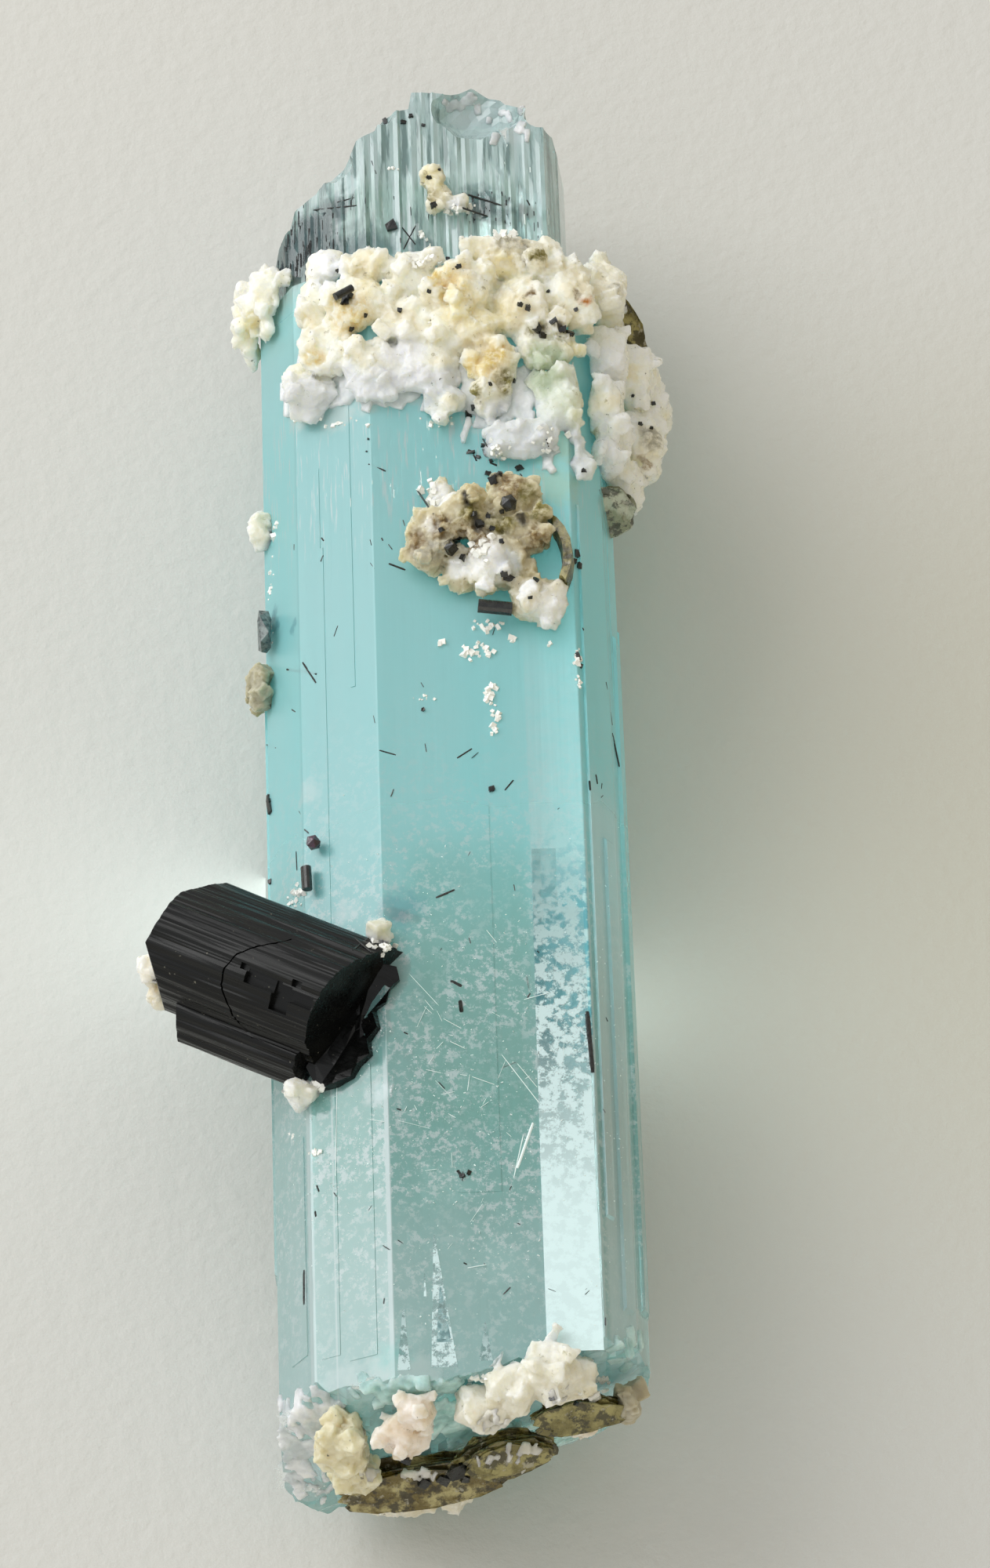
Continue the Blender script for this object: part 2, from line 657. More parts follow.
def beryl_band(finish, base, x, y):
    """The bright strip along the right edge of the top face, mottled blue in its middle."""
    mottle = finish.noise(1300.0, 6.0, contrast=0.74)
    strip = strip_share(finish, x, y, 6.1, 1.5, -40.0, 6.0, 0.07)
    grows = finish.between(y, -25.0, 5.0, 1.0, 0.25)
    share = finish.times(strip, grows, finish.range(mottle, 0.36, 0.54, 0.5, 1.0))
    base = finish.blend(share, base, BRIGHT)
    rises = finish.between(y, -26.0, -17.0)
    stops = finish.between(y, -13.0, -6.0, 1.0, 0.0)
    blue = finish.times(strip, rises, stops, finish.range(mottle, 0.45, 0.53, 1.0, 0.0))
    return finish.blend(blue, base, DEEP_BLUE)


def beryl_bubbles(finish, base, y):
    """Clouds of white bubbles in the lower half."""
    fine = finish.noise(1700.0, 8.0, contrast=0.80)
    patchy = finish.noise(260.0, 3.0)
    low = finish.between(y, -41.0, -30.0, 0.35, 1.0)
    high = finish.between(y, -16.0, 4.0, 1.0, 0.0)
    zone = finish.times(low, high, finish.range(patchy, 0.34, 0.56, 0.3, 1.0))
    return finish.blend(finish.times(zone, finish.range(fine, 0.50, 0.57)), base, BRIGHT)


def beryl_finish(settings):
    """Beryl: streaked along its length, milky above, clearer at its foot, nearly colourless in its head."""
    finish = Finish("clear_beryl", ior=settings.refraction)
    wave = finish.noise(120.0, 2.0)
    x = finish.axis("X")
    y = finish.axis("Y")
    shaken = finish.math("ADD", y, finish.times(finish.math("SUBTRACT", wave, 0.5), 0.006))
    foot = finish.between(shaken, -33.0, -25.0)
    waist = finish.between(shaken, -18.0, -4.0)
    head = finish.between(shaken, 28.0, 31.0)
    colour = finish.blend(foot, tuple(settings.foot_colour), tuple(settings.waist_colour))
    colour = finish.blend(waist, colour, tuple(settings.body_colour))
    colour = finish.blend(head, colour, tuple(settings.head_colour))
    cloud = finish.noise(200.0, 3.0, stretch=(1.0, 0.35, 1.0))
    colour = finish.blend(finish.range(cloud, 0.35, 0.65, 0.0, 0.16), colour, BRIGHT)
    for *strip, tone, strength, soft in BERYL_STRIPS:
        share = strip_share(finish, x, y, *strip, soft)
        colour = finish.blend(finish.times(share, strength), colour, tone)
    colour = beryl_streaks(finish, colour, y)
    colour = beryl_bubbles(finish, colour, shaken)
    colour = beryl_band(finish, colour, x, y)
    ragged = finish.warped(1100.0, 0.0024)
    solid = beryl_tree()
    for u, v, radius, tone, strength in BERYL_CLOUDS:
        centre = PLACE @ spot(solid, u, v)[0]
        colour = finish.patch(colour, ragged, centre, radius * MM, tone, strength)
    streaks = finish.noise(1400.0, 3.0, stretch=(1.0, 0.035, 1.0))
    normal = finish.bump(streaks, 0.00005, settings.striation)
    frost = finish.between(shaken, -30.0, 4.0, settings.foot_frost, settings.body_frost)
    bare = finish.between(shaken, 27.0, 31.0, 1.0, 0.2)
    frost = finish.times(frost, bare)
    finish.set(Base_Color=colour, Roughness=frost, Normal=normal, Transmission_Weight=settings.clarity)
    absorb = finish.node("ShaderNodeVolumeAbsorption")
    absorb.inputs["Color"].default_value = (*settings.absorption_colour, 1.0)
    absorb.inputs["Density"].default_value = settings.absorption_density
    output = finish.tree.nodes["Material Output"]
    finish.tree.links.new(absorb.outputs[0], output.inputs["Volume"])
    return finish.material


def schorl_finish(settings):
    """Black tourmaline: glossy, with fine grooves along it and a dust of pale specks."""
    finish = Finish("black_schorl", ior=1.58)
    along = (SCHORL_END - SCHORL_START).normalized()
    across = Vector((0, 0, 1)).cross(along).normalized()
    above = along.cross(across)
    rows = []
    for way, stretch in ((along, 0.03), (across, 1.0), (above, 1.0)):
        dot = finish.vector("DOT_PRODUCT", finish.place, tuple(way)).outputs["Value"]
        rows.append(finish.times(dot, stretch))
    place = finish.node("ShaderNodeCombineXYZ", {0: rows[0], 1: rows[1], 2: rows[2]}).outputs[0]
    grooves = finish.noise(5200.0, 3.0, place=place, contrast=0.6)
    wide = finish.noise(700.0, 1.0, place=place)
    dust = finish.range(finish.noise(3400.0, 4.0), 0.70, 0.76)
    grey = finish.range(wide, 0.35, 0.75)
    colour = finish.blend(grey, tuple(settings.colour), tuple(settings.band_colour))
    colour = finish.blend(finish.times(dust, 0.35), colour, STAINS["grey"])
    rough = finish.range(grooves, 0.25, 0.75, settings.gloss, settings.gloss * 2.6)
    rough = finish.math("ADD", rough, finish.times(dust, 0.3))
    finish.set(Base_Color=colour, Roughness=rough, Normal=finish.bump(grooves, 0.00003, 0.4))
    finish.set(Specular_IOR_Level=0.24)
    return finish.material


# The strength of the albite's fine relief.
ALBITE_DEPTH = 0.6


def albite_finish(name, colour, tree, patches, streak=None, roughness=0.5, reach=0.0009):
    """Feldspar: sugary grain, stains where they lie, specks, and a little light under the skin."""
    finish = Finish(name, ior=1.45)
    place = finish.warped(900.0, 0.0016)
    grain = finish.cells(2400.0)
    fine = finish.noise(6500.0, 3.0)
    cloud = finish.noise(520.0, 4.0, contrast=0.65)
    shade = tuple(c * dim for c, dim in zip(colour, (0.90, 0.88, 0.82)))
    base = finish.blend(finish.range(cloud, 0.42, 0.66), colour, shade)
    facet = finish.node("ShaderNodeSeparateColor", {0: finish.cells(2400.0, output="Color")}).outputs[0]
    base = finish.blend(finish.range(facet, 0.0, 1.0, 0.0, 0.3), base, shade)
    tan = finish.range(finish.noise(330.0, 4.0), 0.49, 0.63, 0.0, 0.55)
    base = finish.blend(tan, base, tuple(c * dim for c, dim in zip(colour, (0.80, 0.73, 0.56))))
    mottle = finish.range(finish.noise(2000.0, 5.0, contrast=0.7), 0.36, 0.60, 0.25, 1.0)
    opaque = 1.0
    for u, v, radius, stain in patches:
        centre = PLACE @ spot(tree, u, v)[0]
        solid = 0.9 if stain in FULL_STAINS else mottle
        base = finish.patch(base, place, centre, radius * MM, STAINS[stain], solid)
        if stain in SEE_THROUGH:
            away = finish.distance(place, centre)
            thin = finish.range(away, radius * MM * 0.5, radius * MM * 1.1, SEE_THROUGH[stain], 1.0)
            opaque = finish.math("MINIMUM", opaque, thin)
    dirt = finish.range(finish.noise(1500.0, 5.0, contrast=0.7), 0.61, 0.71)
    base = finish.blend(finish.times(dirt, 0.55), base, STAINS["olive"])
    speck = finish.range(finish.noise(2900.0, 3.0), 0.71, 0.76)
    base = finish.blend(finish.times(speck, 0.7), base, STAINS["soot"])
    normal = finish.bump(grain, 0.00016, ALBITE_DEPTH)
    normal = finish.bump(fine, 0.00005, ALBITE_DEPTH, normal)
    if streak:
        fibres = finish.noise(1700.0, 3.0, stretch=streak)
        normal = finish.bump(fibres, 0.0001, 0.7, normal)
    rough = finish.range(facet, 0.0, 1.0, roughness - 0.22, roughness + 0.15)
    finish.set(Base_Color=base, Roughness=rough, Normal=normal)
    if opaque != 1.0:
        finish.set(Alpha=opaque)
    finish.set(Subsurface_Weight=1.0, Subsurface_Scale=reach, Subsurface_Radius=(1.0, 0.95, 0.8))
    return finish.material


def mica_finish(name, colour, edge_colour):
    """Mica: fine leaves one on another, glossy on their faces."""
    finish = Finish(name, ior=1.58)
    cloud = finish.noise(700.0, 5.0, contrast=0.65)
    fleck = finish.range(finish.noise(1000.0, 5.0, contrast=0.7), 0.47, 0.56)
    base = finish.blend(finish.range(cloud, 0.42, 0.58), colour, edge_colour)
    base = finish.blend(finish.times(fleck, 0.85), base, tuple(c * 0.14 for c in colour))
    snow = finish.range(finish.noise(1500.0, 5.0, contrast=0.7), 0.59, 0.65, 0.0, 0.7)
    base = finish.blend(snow, base, STAINS["grey"])
    finish.set(Base_Color=base, Roughness=finish.range(cloud, 0.3, 0.7, 0.22, 0.5))
    finish.set(Normal=finish.bump(finish.noise(3800.0, 3.0), 0.00005, 0.7))
    return finish.material


def plain_mineral(name, colour, dark, roughness, ior=1.6):
    """A small grain's finish: two tones and a fine relief."""
    scale = 3000.0
    finish = Finish(name, ior=ior)
    cloud = finish.noise(scale, 3.0)
    finish.set(Base_Color=finish.blend(finish.range(cloud, 0.35, 0.65), colour, dark))
    finish.set(Roughness=finish.range(cloud, 0.3, 0.7, roughness * 0.7, roughness * 1.3))
    finish.set(Normal=finish.bump(finish.noise(scale * 2, 3.0), 0.00004, 0.6))
    return finish.material


def veil_finish(name, colour, threshold, strength, scale):
    """A cloud of fine bubbles on a healed crack: mostly clear, white where they gather."""
    finish = Finish(name, roughness=0.6, ior=1.45)
    cloud = finish.noise(scale, 5.0, contrast=0.7)
    patchy = finish.noise(420.0, 3.0)
    fade = finish.node("ShaderNodeAttribute", (), attribute_name=FADE).outputs["Fac"]
    share = finish.math("ADD", finish.times(cloud, 0.55), finish.times(patchy, 0.45))
    rim = finish.times(finish.math("SUBTRACT", 1.0, fade), 0.35)
    share = finish.math("SUBTRACT", share, rim)
    alpha = finish.range(share, threshold, threshold + 0.16, 0.0, strength)
    tone = finish.blend(cloud, colour, tuple(c * 0.85 for c in colour))
    finish.set(Base_Color=tone, Alpha=alpha)
    return finish.material


def rounded(corners, radius):
    """A convex outline with its corners turned to small arcs."""
    steps = 3
    count = len(corners)
    outline = []
    for i, corner in enumerate(corners):
        here = Vector(corner)
        back = (Vector(corners[i - 1]) - here).normalized()
        ahead = (Vector(corners[(i + 1) % count]) - here).normalized()
        half = back.angle(ahead) / 2
        start = here + back * radius / math.tan(half)
        end = here + ahead * radius / math.tan(half)
        centre = here + (back + ahead).normalized() * radius / math.sin(half)
        for step in range(steps + 1):
            way = start.lerp(end, step / steps) - centre
            outline.append(centre + way.normalized() * radius)
    return outline


def growth_ledge(side, share_from, share_to, start, end, height):
    """A low plate on one long face, with slanted ends."""
    first = Vector(PRISM_SECTION[side])
    second = Vector(PRISM_SECTION[(side + 1) % len(PRISM_SECTION)])
    along = (second - first).normalized()
    out = Vector((along.y, -along.x))
    if out.dot(first - Vector((0.0, PRISM_HEIGHT / 2))) < 0:
        out = -out
    points = []
    slant = 4 * height
    for share, lean in ((share_from, height / 2), (share_to, -height / 2)):
        foot = first.lerp(second, share)
        top = foot + out * height + along * lean
        foot = foot - 0.6 * out
        points += [(foot.x, start, foot.y), (foot.x, end, foot.y)]
        points += [(top.x, start + slant, top.y), (top.x, end - slant, top.y)]
    return object_of("ledge", hull_form(points))


def thin_steps():
    """Low seeded growth steps on every long face but the one that the crystal lies on."""
    chance = random.Random(STEP_SEED)
    steps = []
    for _ in range(THIN_STEPS):
        start = chance.uniform(0.04, 0.8)
        wide = chance.uniform(0.05, 0.22)
        low = chance.uniform(-37.0, 5.0)
        long = chance.uniform(8.0, 36.0)
        height = chance.uniform(0.012, 0.035)
        top = min(low + long, 27.0)
        steps.append((chance.choice(THIN_STEP_SIDES), start, min(start + wide, 0.97), low, top, height))
    return steps


def head_rings():
    """The head's sections: plain sides, and ridges along the crystal on top."""
    left = Vector(HEAD_TOP_LEFT)
    right = Vector(HEAD_TOP_RIGHT)
    side_left = Vector(HEAD_SIDES[0])
    chance = random.Random(RIDGE_SEED)
    crests = []
    for start, end in ((right, left), (left, side_left)):
        steps = round((end - start).length / HEAD_RIDGE_PITCH)
        rise = 0.0
        for step in range(steps):
            shake = chance.uniform(-0.3, 0.3) if step else 0.0
            spot_on = start.lerp(end, (step + shake) / steps)
            if chance.random() < 0.5:
                rise = chance.uniform(-0.7, 0.7)
            crests.append((spot_on, rise))
    rings = []
    station = HEAD_ROOT
    while station <= HEAD_END:
        ring = []
        for number, (spot_on, rise) in enumerate(crests):
            slow = noise.noise(Vector((number * 0.7, station * 0.22, 3.0)))
            height = spot_on.y + HEAD_RIDGE_DEPTH * (rise * (1 + slow) + 0.9 * slow)
            ring.append((spot_on.x, station, height))
        ring += [(x, station, z) for x, z in HEAD_SIDES]
        rings.append(ring)
        station += HEAD_STATION
    return rings


def scoop(centre, radii, seed):
    """A tool that breaks out a shell-shaped chip with ripples round its middle."""
    form = bmesh.new()
    bmesh.ops.create_icosphere(form, subdivisions=4, radius=1.0)
    chance = random.Random(seed)
    root = Vector((chance.uniform(-1, 1), chance.uniform(-1, 1), -0.3)).normalized()
    for vert in form.verts:
        away = (vert.co - root).length
        ripple = 0.018 * math.sin(away * 21) + 0.05 * noise.noise(vert.co * 2.3 + root * 9)
        vert.co *= 1 + ripple
    form.transform(Matrix.Translation(centre) @ Matrix.Diagonal((*radii, 1.0)))
    return object_of("scoop", form)


def make_head():
    """The etched head, trimmed to its plan and chipped."""
    head = object_of("head", loft_form(head_rings()))
    plan = bmesh.new()
    face = plan.faces.new([plan.verts.new((x, y, PLAN_FLOOR)) for x, y in HEAD_PLAN])
    grown = bmesh.ops.extrude_face_region(plan, geom=[face])
    raised = [part for part in grown["geom"] if isinstance(part, bmesh.types.BMVert)]
    bmesh.ops.translate(plan, verts=raised, vec=(0, 0, PLAN_HEIGHT))
    combine(head, [object_of("plan", plan)], "INTERSECT")
    scoops = [scoop(centre, radii, CHIP_SEED + i) for i, (centre, radii) in enumerate(HEAD_CHIPS)]
    return combine(head, scoops, "DIFFERENCE")


def break_height(x, z):
    """Where the broken base lies at a point of the section: the three breaks with fractures on them."""
    y = -1000.0
    for point, (across, upwards) in BASE_BREAKS:
        y = max(y, point[1] + (x - point[0]) * across + (z - point[2]) * upwards)
    place = Vector((x, z, 0.0))
    _, points = noise.voronoi(place * 0.45)
    tilt = noise.cell_vector(points[0] * 3.1)
    facet = (place * 0.45 - points[0]).dot(tilt) * 0.45
    return y + 0.25 * noise.noise(place * 0.4) + 0.12 * noise.noise(place * 1.3) + facet


def base_breaker():
    """A block whose front is the broken base's surface."""
    spacing = 0.4
    left = -13.0
    low = -1.5
    wide = 66
    tall = 52
    columns = [left + spacing * i for i in range(wide)]
    rows = [low + spacing * i for i in range(tall)]
    form = bmesh.new()
    front = [[form.verts.new((x, break_height(x, z), z)) for x in columns] for z in rows]
    back = [[form.verts.new((x, BASE_END - 8.0, z)) for x in columns] for z in rows]
    for grid, turned in ((front, False), (back, True)):
        for j in range(tall - 1):
            for i in range(wide - 1):
                quad = (grid[j][i], grid[j][i + 1], grid[j + 1][i + 1], grid[j + 1][i])
                form.faces.new(quad[::-1] if turned else quad)
    for i in range(wide - 1):
        for j in (0, tall - 1):
            form.faces.new((front[j][i], front[j][i + 1], back[j][i + 1], back[j][i]))
    for j in range(tall - 1):
        for i in (0, wide - 1):
            form.faces.new((front[j][i], front[j + 1][i], back[j + 1][i], back[j][i]))
    return object_of("breaker", form)


def make_prism(settings):
    """The whole beryl crystal, with no bed cut for what grew into it."""
    outline = rounded(PRISM_SECTION, settings.edge_radius / MM)
    rings = [[(c.x, y, c.y) for c in outline] for y in (BASE_END, SHOULDER)]
    prism = object_of("beryl_prism", loft_form(rings))
    ledges = [growth_ledge(*ledge) for ledge in GROWTH_LEDGES]
    ledges += [growth_ledge(*step) for step in thin_steps()]
    combine(prism, [make_head(), *ledges], "UNION")
    combine(prism, [base_breaker()], "DIFFERENCE")
    settle(prism)
    dress(prism, beryl_finish(settings))
    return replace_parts(prism, "aquamarine")


def beryl_tree():
    """A search tree over the dressed prism."""
    return tree_of(bpy.data.objects["beryl_prism"])


def grooved_outline(radius, sides, seed, turns):
    """A rounded triangle with many fine grooves, at one place along a tourmaline."""
    count = sides * 7
    outline = []
    for i in range(count):
        angle = i * math.tau / count
        swell = 1 + 0.045 * math.cos(3 * angle + 0.5) - 0.012 * math.cos(6 * angle)
        around = Vector((math.cos(angle), math.sin(angle), 0.0)) * radius
        coarse = noise.noise(Vector((around.x * 2.1, around.y * 2.1, seed + turns * 0.10)))
        middle = noise.noise(Vector((around.x * 5.5, around.y * 5.5, seed + turns * 0.16)))
        small = noise.noise(Vector((around.x * 13.0, around.y * 13.0, seed + turns * 0.25)))
        reach = radius * swell - 0.10 + 0.15 * coarse + 0.05 * middle + 0.02 * small
        outline.append((reach * math.cos(angle), reach * math.sin(angle)))
    return outline


def tourmaline_place():
    """The turn and shift that lay a form along X on the tourmaline's axis."""
    along = (SCHORL_END - SCHORL_START).normalized()
    across = Vector((0, 0, 1)).cross(along).normalized()
    turn = Matrix((along, across, along.cross(across))).transposed().to_4x4()
    return Matrix.Translation(SCHORL_START) @ turn


def tourmaline_rings(start, end, radius, sides, seed, shift=(0.0, 0.0)):
    """Grooved sections, one every 0.35 mm or so."""
    count = round((end - start) / 0.35)
    rings = []
    for step in range(count + 1):
        x = start + (end - start) * step / count
        outline = grooved_outline(radius, sides, seed, x)
        rings.append([(x, y + shift[0], z + shift[1]) for y, z in outline])
    return rings


def crack_tool(tree):
    """A thin curved sheet that cuts the crack into the tourmaline's skin."""
    deep = 0.5
    half = 0.07
    rows = []
    points = [spot(tree, u, v) for u, v in SCHORL_CRACK]
    for i, (point, normal) in enumerate(points):
        ahead = points[min(i + 1, len(points) - 1)][0] - points[max(i - 1, 0)][0]
        side = ahead.cross(normal).normalized() * half
        outer = point + normal * 0.3
        inner = point - normal * deep
        rows.append([outer + side, outer - side, inner - side * 0.3, inner + side * 0.3])
    return object_of("crack", loft_form(rows))


# The ragged lip of the tourmaline's broken end, where it lies on the beryl: (frame u, v, height in mm).
SCHORL_LIP = (
    (462, 1222, 0.5), (486, 1228, 0.75), (508, 1236, 0.6), (512, 1250, 0.35), (500, 1262, 0.5),
    (494, 1280, 0.25), (482, 1292, 0.55), (486, 1312, 0.3), (474, 1330, 0.45), (476, 1348, 0.3),
    (462, 1362, 0.5), (452, 1378, 0.4), (430, 1390, 0.6), (408, 1396, 0.4), (400, 1370, 0.9),
    (415, 1335, 0.7), (424, 1300, 0.6), (432, 1262, 0.8), (446, 1235, 0.9),
)
SCHORL_LIP_ROOT = 1.2

# The lip's sections from its root inwards: (share of the way out from its middle, share of its height).
SCHORL_LIP_RINGS = ((1.0, None), (0.96, 1.0), (0.82, 0.8), (0.62, 0.45), (0.35, 0.3), (0.12, 0.25))


def broken_lip(tree):
    """A ragged black apron with a hollow in the middle, seated in the beryl."""
    rim = [(*spot(tree, u, v), height) for u, v, height in SCHORL_LIP]
    centre = sum((point for point, _, _ in rim), Vector()) / len(rim)
    rings = []
    for share, lift in SCHORL_LIP_RINGS:
        ring = []
        for point, normal, height in rim:
            place = centre.lerp(point, share)
            up = -SCHORL_LIP_ROOT if lift is None else height * lift
            ring.append(place + normal * up + Vector((0, 0, 0.12 * noise.noise(place * 3.0))))
        rings.append(ring)
    return object_of("lip", loft_form(rings))


def make_tourmaline(settings):
    """The large tourmaline with the smaller one along its side, its bevels, pits, crack and hollow end."""
    length = (SCHORL_END - SCHORL_START).length
    place = tourmaline_place()
    form = loft_form(tourmaline_rings(0.0, length + SCHORL_OVERRUN, SCHORL_RADIUS, SCHORL_SIDES, 3.0))
    for point, direction in SCHORL_BEVELS:
        cut_off(form, point, direction)
    cut_off(form, Vector((length, 0, 0)) + Vector(SCHORL_BREAK[0]), SCHORL_BREAK[1])
    form.transform(place)
    schorl = object_of("schorl_crystal", form)
    end = LEDGE_START + LEDGE_LENGTH
    ledge = loft_form(tourmaline_rings(LEDGE_START, end, LEDGE_RADIUS, LEDGE_SIDES, 8.0, LEDGE_OFFSET))
    cut_off(ledge, (LEDGE_START + 0.3, LEDGE_OFFSET[0], LEDGE_OFFSET[1]), (-1.0, -0.45, 0.15))
    cut_off(ledge, (end - 0.5, LEDGE_OFFSET[0], LEDGE_OFFSET[1]), (1.0, -0.35, 0.3))
    ledge.transform(place)
    combine(schorl, [object_of("ledge", ledge)], "UNION")
    tools = []
    for along, angle, long, wide, deep in SCHORL_PITS:
        pit = bmesh.new()
        turn = Matrix.Rotation(math.radians(angle), 4, "X")
        size = Matrix.Diagonal((long, wide, deep * 2, 1.0))
        skin = Matrix.Translation((along, 0, SCHORL_RADIUS))
        bmesh.ops.create_cube(pit, size=1.0, matrix=turn @ skin @ size)
        pit.transform(place)
        tools.append(object_of("pit", pit))
    hollow = bmesh.new()
    bmesh.ops.create_icosphere(hollow, subdivisions=4, radius=1.0)
    for vert in hollow.verts:
        _, points = noise.voronoi(vert.co * 1.6)
        facet = (vert.co * 1.6 - points[0]).dot(noise.cell_vector(points[0] * 5.0))
        vert.co *= 0.96 + 0.22 * facet + 0.10 * noise.noise(vert.co * 2.2)
    middle = Vector((length, 0, 0)) + Vector(HOLLOW_CENTRE)
    hollow.transform(place @ Matrix.Translation(middle) @ Matrix.Diagonal((*HOLLOW_RADII, 1.0)))
    tools.append(object_of("hollow", hollow))
    combine(schorl, tools, "DIFFERENCE")
    settled = BVHTree.FromPolygons(
        [vert.co for vert in schorl.data.vertices], [face.vertices[:] for face in schorl.data.polygons]
    )
    combine(schorl, [crack_tool(settled)], "DIFFERENCE")
    combine(schorl, [broken_lip(beryl_tree())], "UNION")
    dress(schorl, schorl_finish(settings))
    settle(schorl)
    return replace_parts(schorl, "schorl")


def relief(place, seed, size):
    """The height of broken cleavage faces at a place: flat facets of one size, each tilted its own way."""
    scaled = (place + Vector((seed, 0.0, 0.0))) / size
    _, points = noise.voronoi(scaled)
    tilt = noise.cell_vector(points[0] * 7.3 + Vector((seed, 1.0, 2.0))) - Vector((0.5, 0.5, 0.5))
    return (scaled - points[0]).dot(tilt) * size


# How near to what carries it a grain's skin turns down into it, and how far in it ends, in mm.
SEAT_REACH = 0.4
SEAT_DEPTH = 0.25

# How far a grain's middle lies under the skin, as a share of its size.
GRAIN_SINK = 0.8


def scatter_blocks(form, seed, count, sizes, keep):
    """Adds uneven blocks that stand in the skin of a form."""
    chance = random.Random(seed)
    faces = [face for face in form.faces if keep is None or keep(face.calc_center_median())]
    chosen = chance.choices(faces, [face.calc_area() for face in faces], k=count)
    heap = Heap()
    for face in chosen:
        corners = [vert.co for vert in face.verts]
        weights = [chance.random() + 0.05 for _ in corners]
        centre = sum((c * w for c, w in zip(corners, weights)), Vector()) / sum(weights)
        size = chance.uniform(*sizes)
        halves = [size * chance.uniform(0.6, 1.3) for _ in range(3)]
        heap.block(centre - face.normal * size * GRAIN_SINK, halves, random_turn(chance), chance)
    made = [form.verts.new(point) for point in heap.points]
    for face in heap.faces:
        form.faces.new([made[i] for i in face])


def grown_body(name, node, voxel, seed, grip, blocks, sizes, rough=0.5, fibre=0.0, keep=None):
    """A mass of grains from the solid's own form: closed, blocky, and seated on what carries it."""
    form = bmesh.new()
    form.from_mesh(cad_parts[node].data)
    bmesh.ops.remove_doubles(form, verts=form.verts, dist=1e-7)
    form.transform(PLACE_BACK)
    scatter_blocks(form, round(seed * 10), blocks, sizes, keep)
    body = fused(object_of(name, form), voxel, 4)
    mesh = body.data
    skin = [(vert.co.copy(), vert.normal.copy()) for vert in mesh.vertices]
    for vert, (place, normal) in zip(mesh.vertices, skin):
        height = rough * (relief(place, seed, 1.3) * 0.5 + relief(place, seed + 9, 0.5) * 0.4)
        height += 0.05 * noise.noise(place * 3.5)
        if fibre:
            height += fibre * noise.noise(Vector((place.x * 2.4, place.y * 0.35, place.z * 2.4)))
        nearest, _, _, distance = grip.find_nearest(place)
        away = min(distance / SEAT_REACH, 1.0)
        sunk = nearest + (nearest - place).normalized() * SEAT_DEPTH
        vert.co = (place + normal * height * away).lerp(sunk, (1.0 - away) ** 2)
    mesh.shade_smooth()
    return body


# Masses of albite: (name, solid, voxel in mm, seed, blocks, least and largest half size, colour, slot).
ALBITE_BODIES = (
    ("albite_band_grown", "albite_band", 0.10, 1.0, 420, (0.14, 0.5), (252, 249, 236), "albite"),
    ("albite_veil_grown", "albite_veil", 0.12, 2.0, 40, (0.2, 0.5), (234, 242, 230), "veil_albite"),
    ("albite_knob_grown", "albite_knob", 0.11, 3.0, 14, (0.2, 0.45), (253, 250, 236), "albite"),
    ("head_lump_grown", "head_lump", 0.07, 6.0, 150, (0.07, 0.24), (236, 228, 204), "stained_albite"),
    ("cluster_grown", "albite_cluster", 0.085, 5.0, 620, (0.10, 0.34), (214, 206, 178), "stained_albite"),
)


def make_albite():
    """The band below the head, the veil, the knob, the head's lump and the stained cluster."""
    grip = beryl_tree()
    for name, node, voxel, seed, blocks, sizes, tone, slot in ALBITE_BODIES:
        body = grown_body(name, node, voxel, seed, grip, blocks, sizes)
        settle(body)
        sight = tree_of(body, bpy.data.objects["beryl_prism"])
        dress(body, albite_finish(name + "_finish", paint(*tone), sight, PATCHES[name]))
        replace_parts(body, node)


# The lobe is fibrous above this place along the prism, and broken into blocks below it.
LOBE_BROKEN_BELOW = 21.0
LOBE_BLOCKS = 90


def broken_end(centre):
    return centre.y < LOBE_BROKEN_BELOW


def make_lobe():
    """The satin white mass on the right side, in fibres that run along the crystal."""
    name = "side_lobe_grown"
    grip = beryl_tree()
    body = grown_body(
        name, "side_lobe", 0.11, 4.0, grip, LOBE_BLOCKS, (0.25, 0.6), rough=0.3, fibre=0.18, keep=broken_end
    )
    settle(body)
    sight = tree_of(body, bpy.data.objects["beryl_prism"])
    along = (1.0, 0.12, 1.0)
    white = paint(255, 253, 244)
    dress(body, albite_finish("satin_albite", white, sight, PATCHES[name], along, 0.38, 0.0015))
    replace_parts(body, "side_lobe")


# Smaller lumps of albite: (name, solid, seed, colour, slot, blocks).
BASE_BODIES = (
    ("base_gold_grown", "base_albite_gold", 31.0, (226, 220, 192), "stained_albite", 160),
    ("base_pink_grown", "base_albite_pink", 32.0, (244, 234, 226), "albite", 9),
    ("base_cream_grown", "base_albite_cream", 33.0, (236, 234, 222), "albite", 10),
    ("base_grey_grown", "base_albite_grey", 34.0, (182, 176, 158), "albite", 20),
    ("base_small_grown", "base_albite_small", 35.0, (242, 230, 220), "albite", 10),
    ("base_rim_grown", "base_albite_rim", 36.0, (236, 232, 220), "albite", 60),
    ("schorl_left_grown", "schorl_albite_left", 37.0, (250, 246, 238), "albite", 20),
    ("schorl_near_grown", "schorl_albite_near", 38.0, (244, 244, 236), "albite", 16),
    ("schorl_right_grown", "schorl_albite_right", 39.0, (240, 244, 238), "albite", 8),
    ("edge_chip_grown", "edge_albite_chip", 40.0, (242, 244, 236), "albite", 14),
    ("edge_speckled_grown", "edge_grain_speckled", 41.0, (178, 174, 152), "stained_albite", 30),
)
BASE_VOXEL = 0.10
BASE_SIZES = (0.15, 0.5)


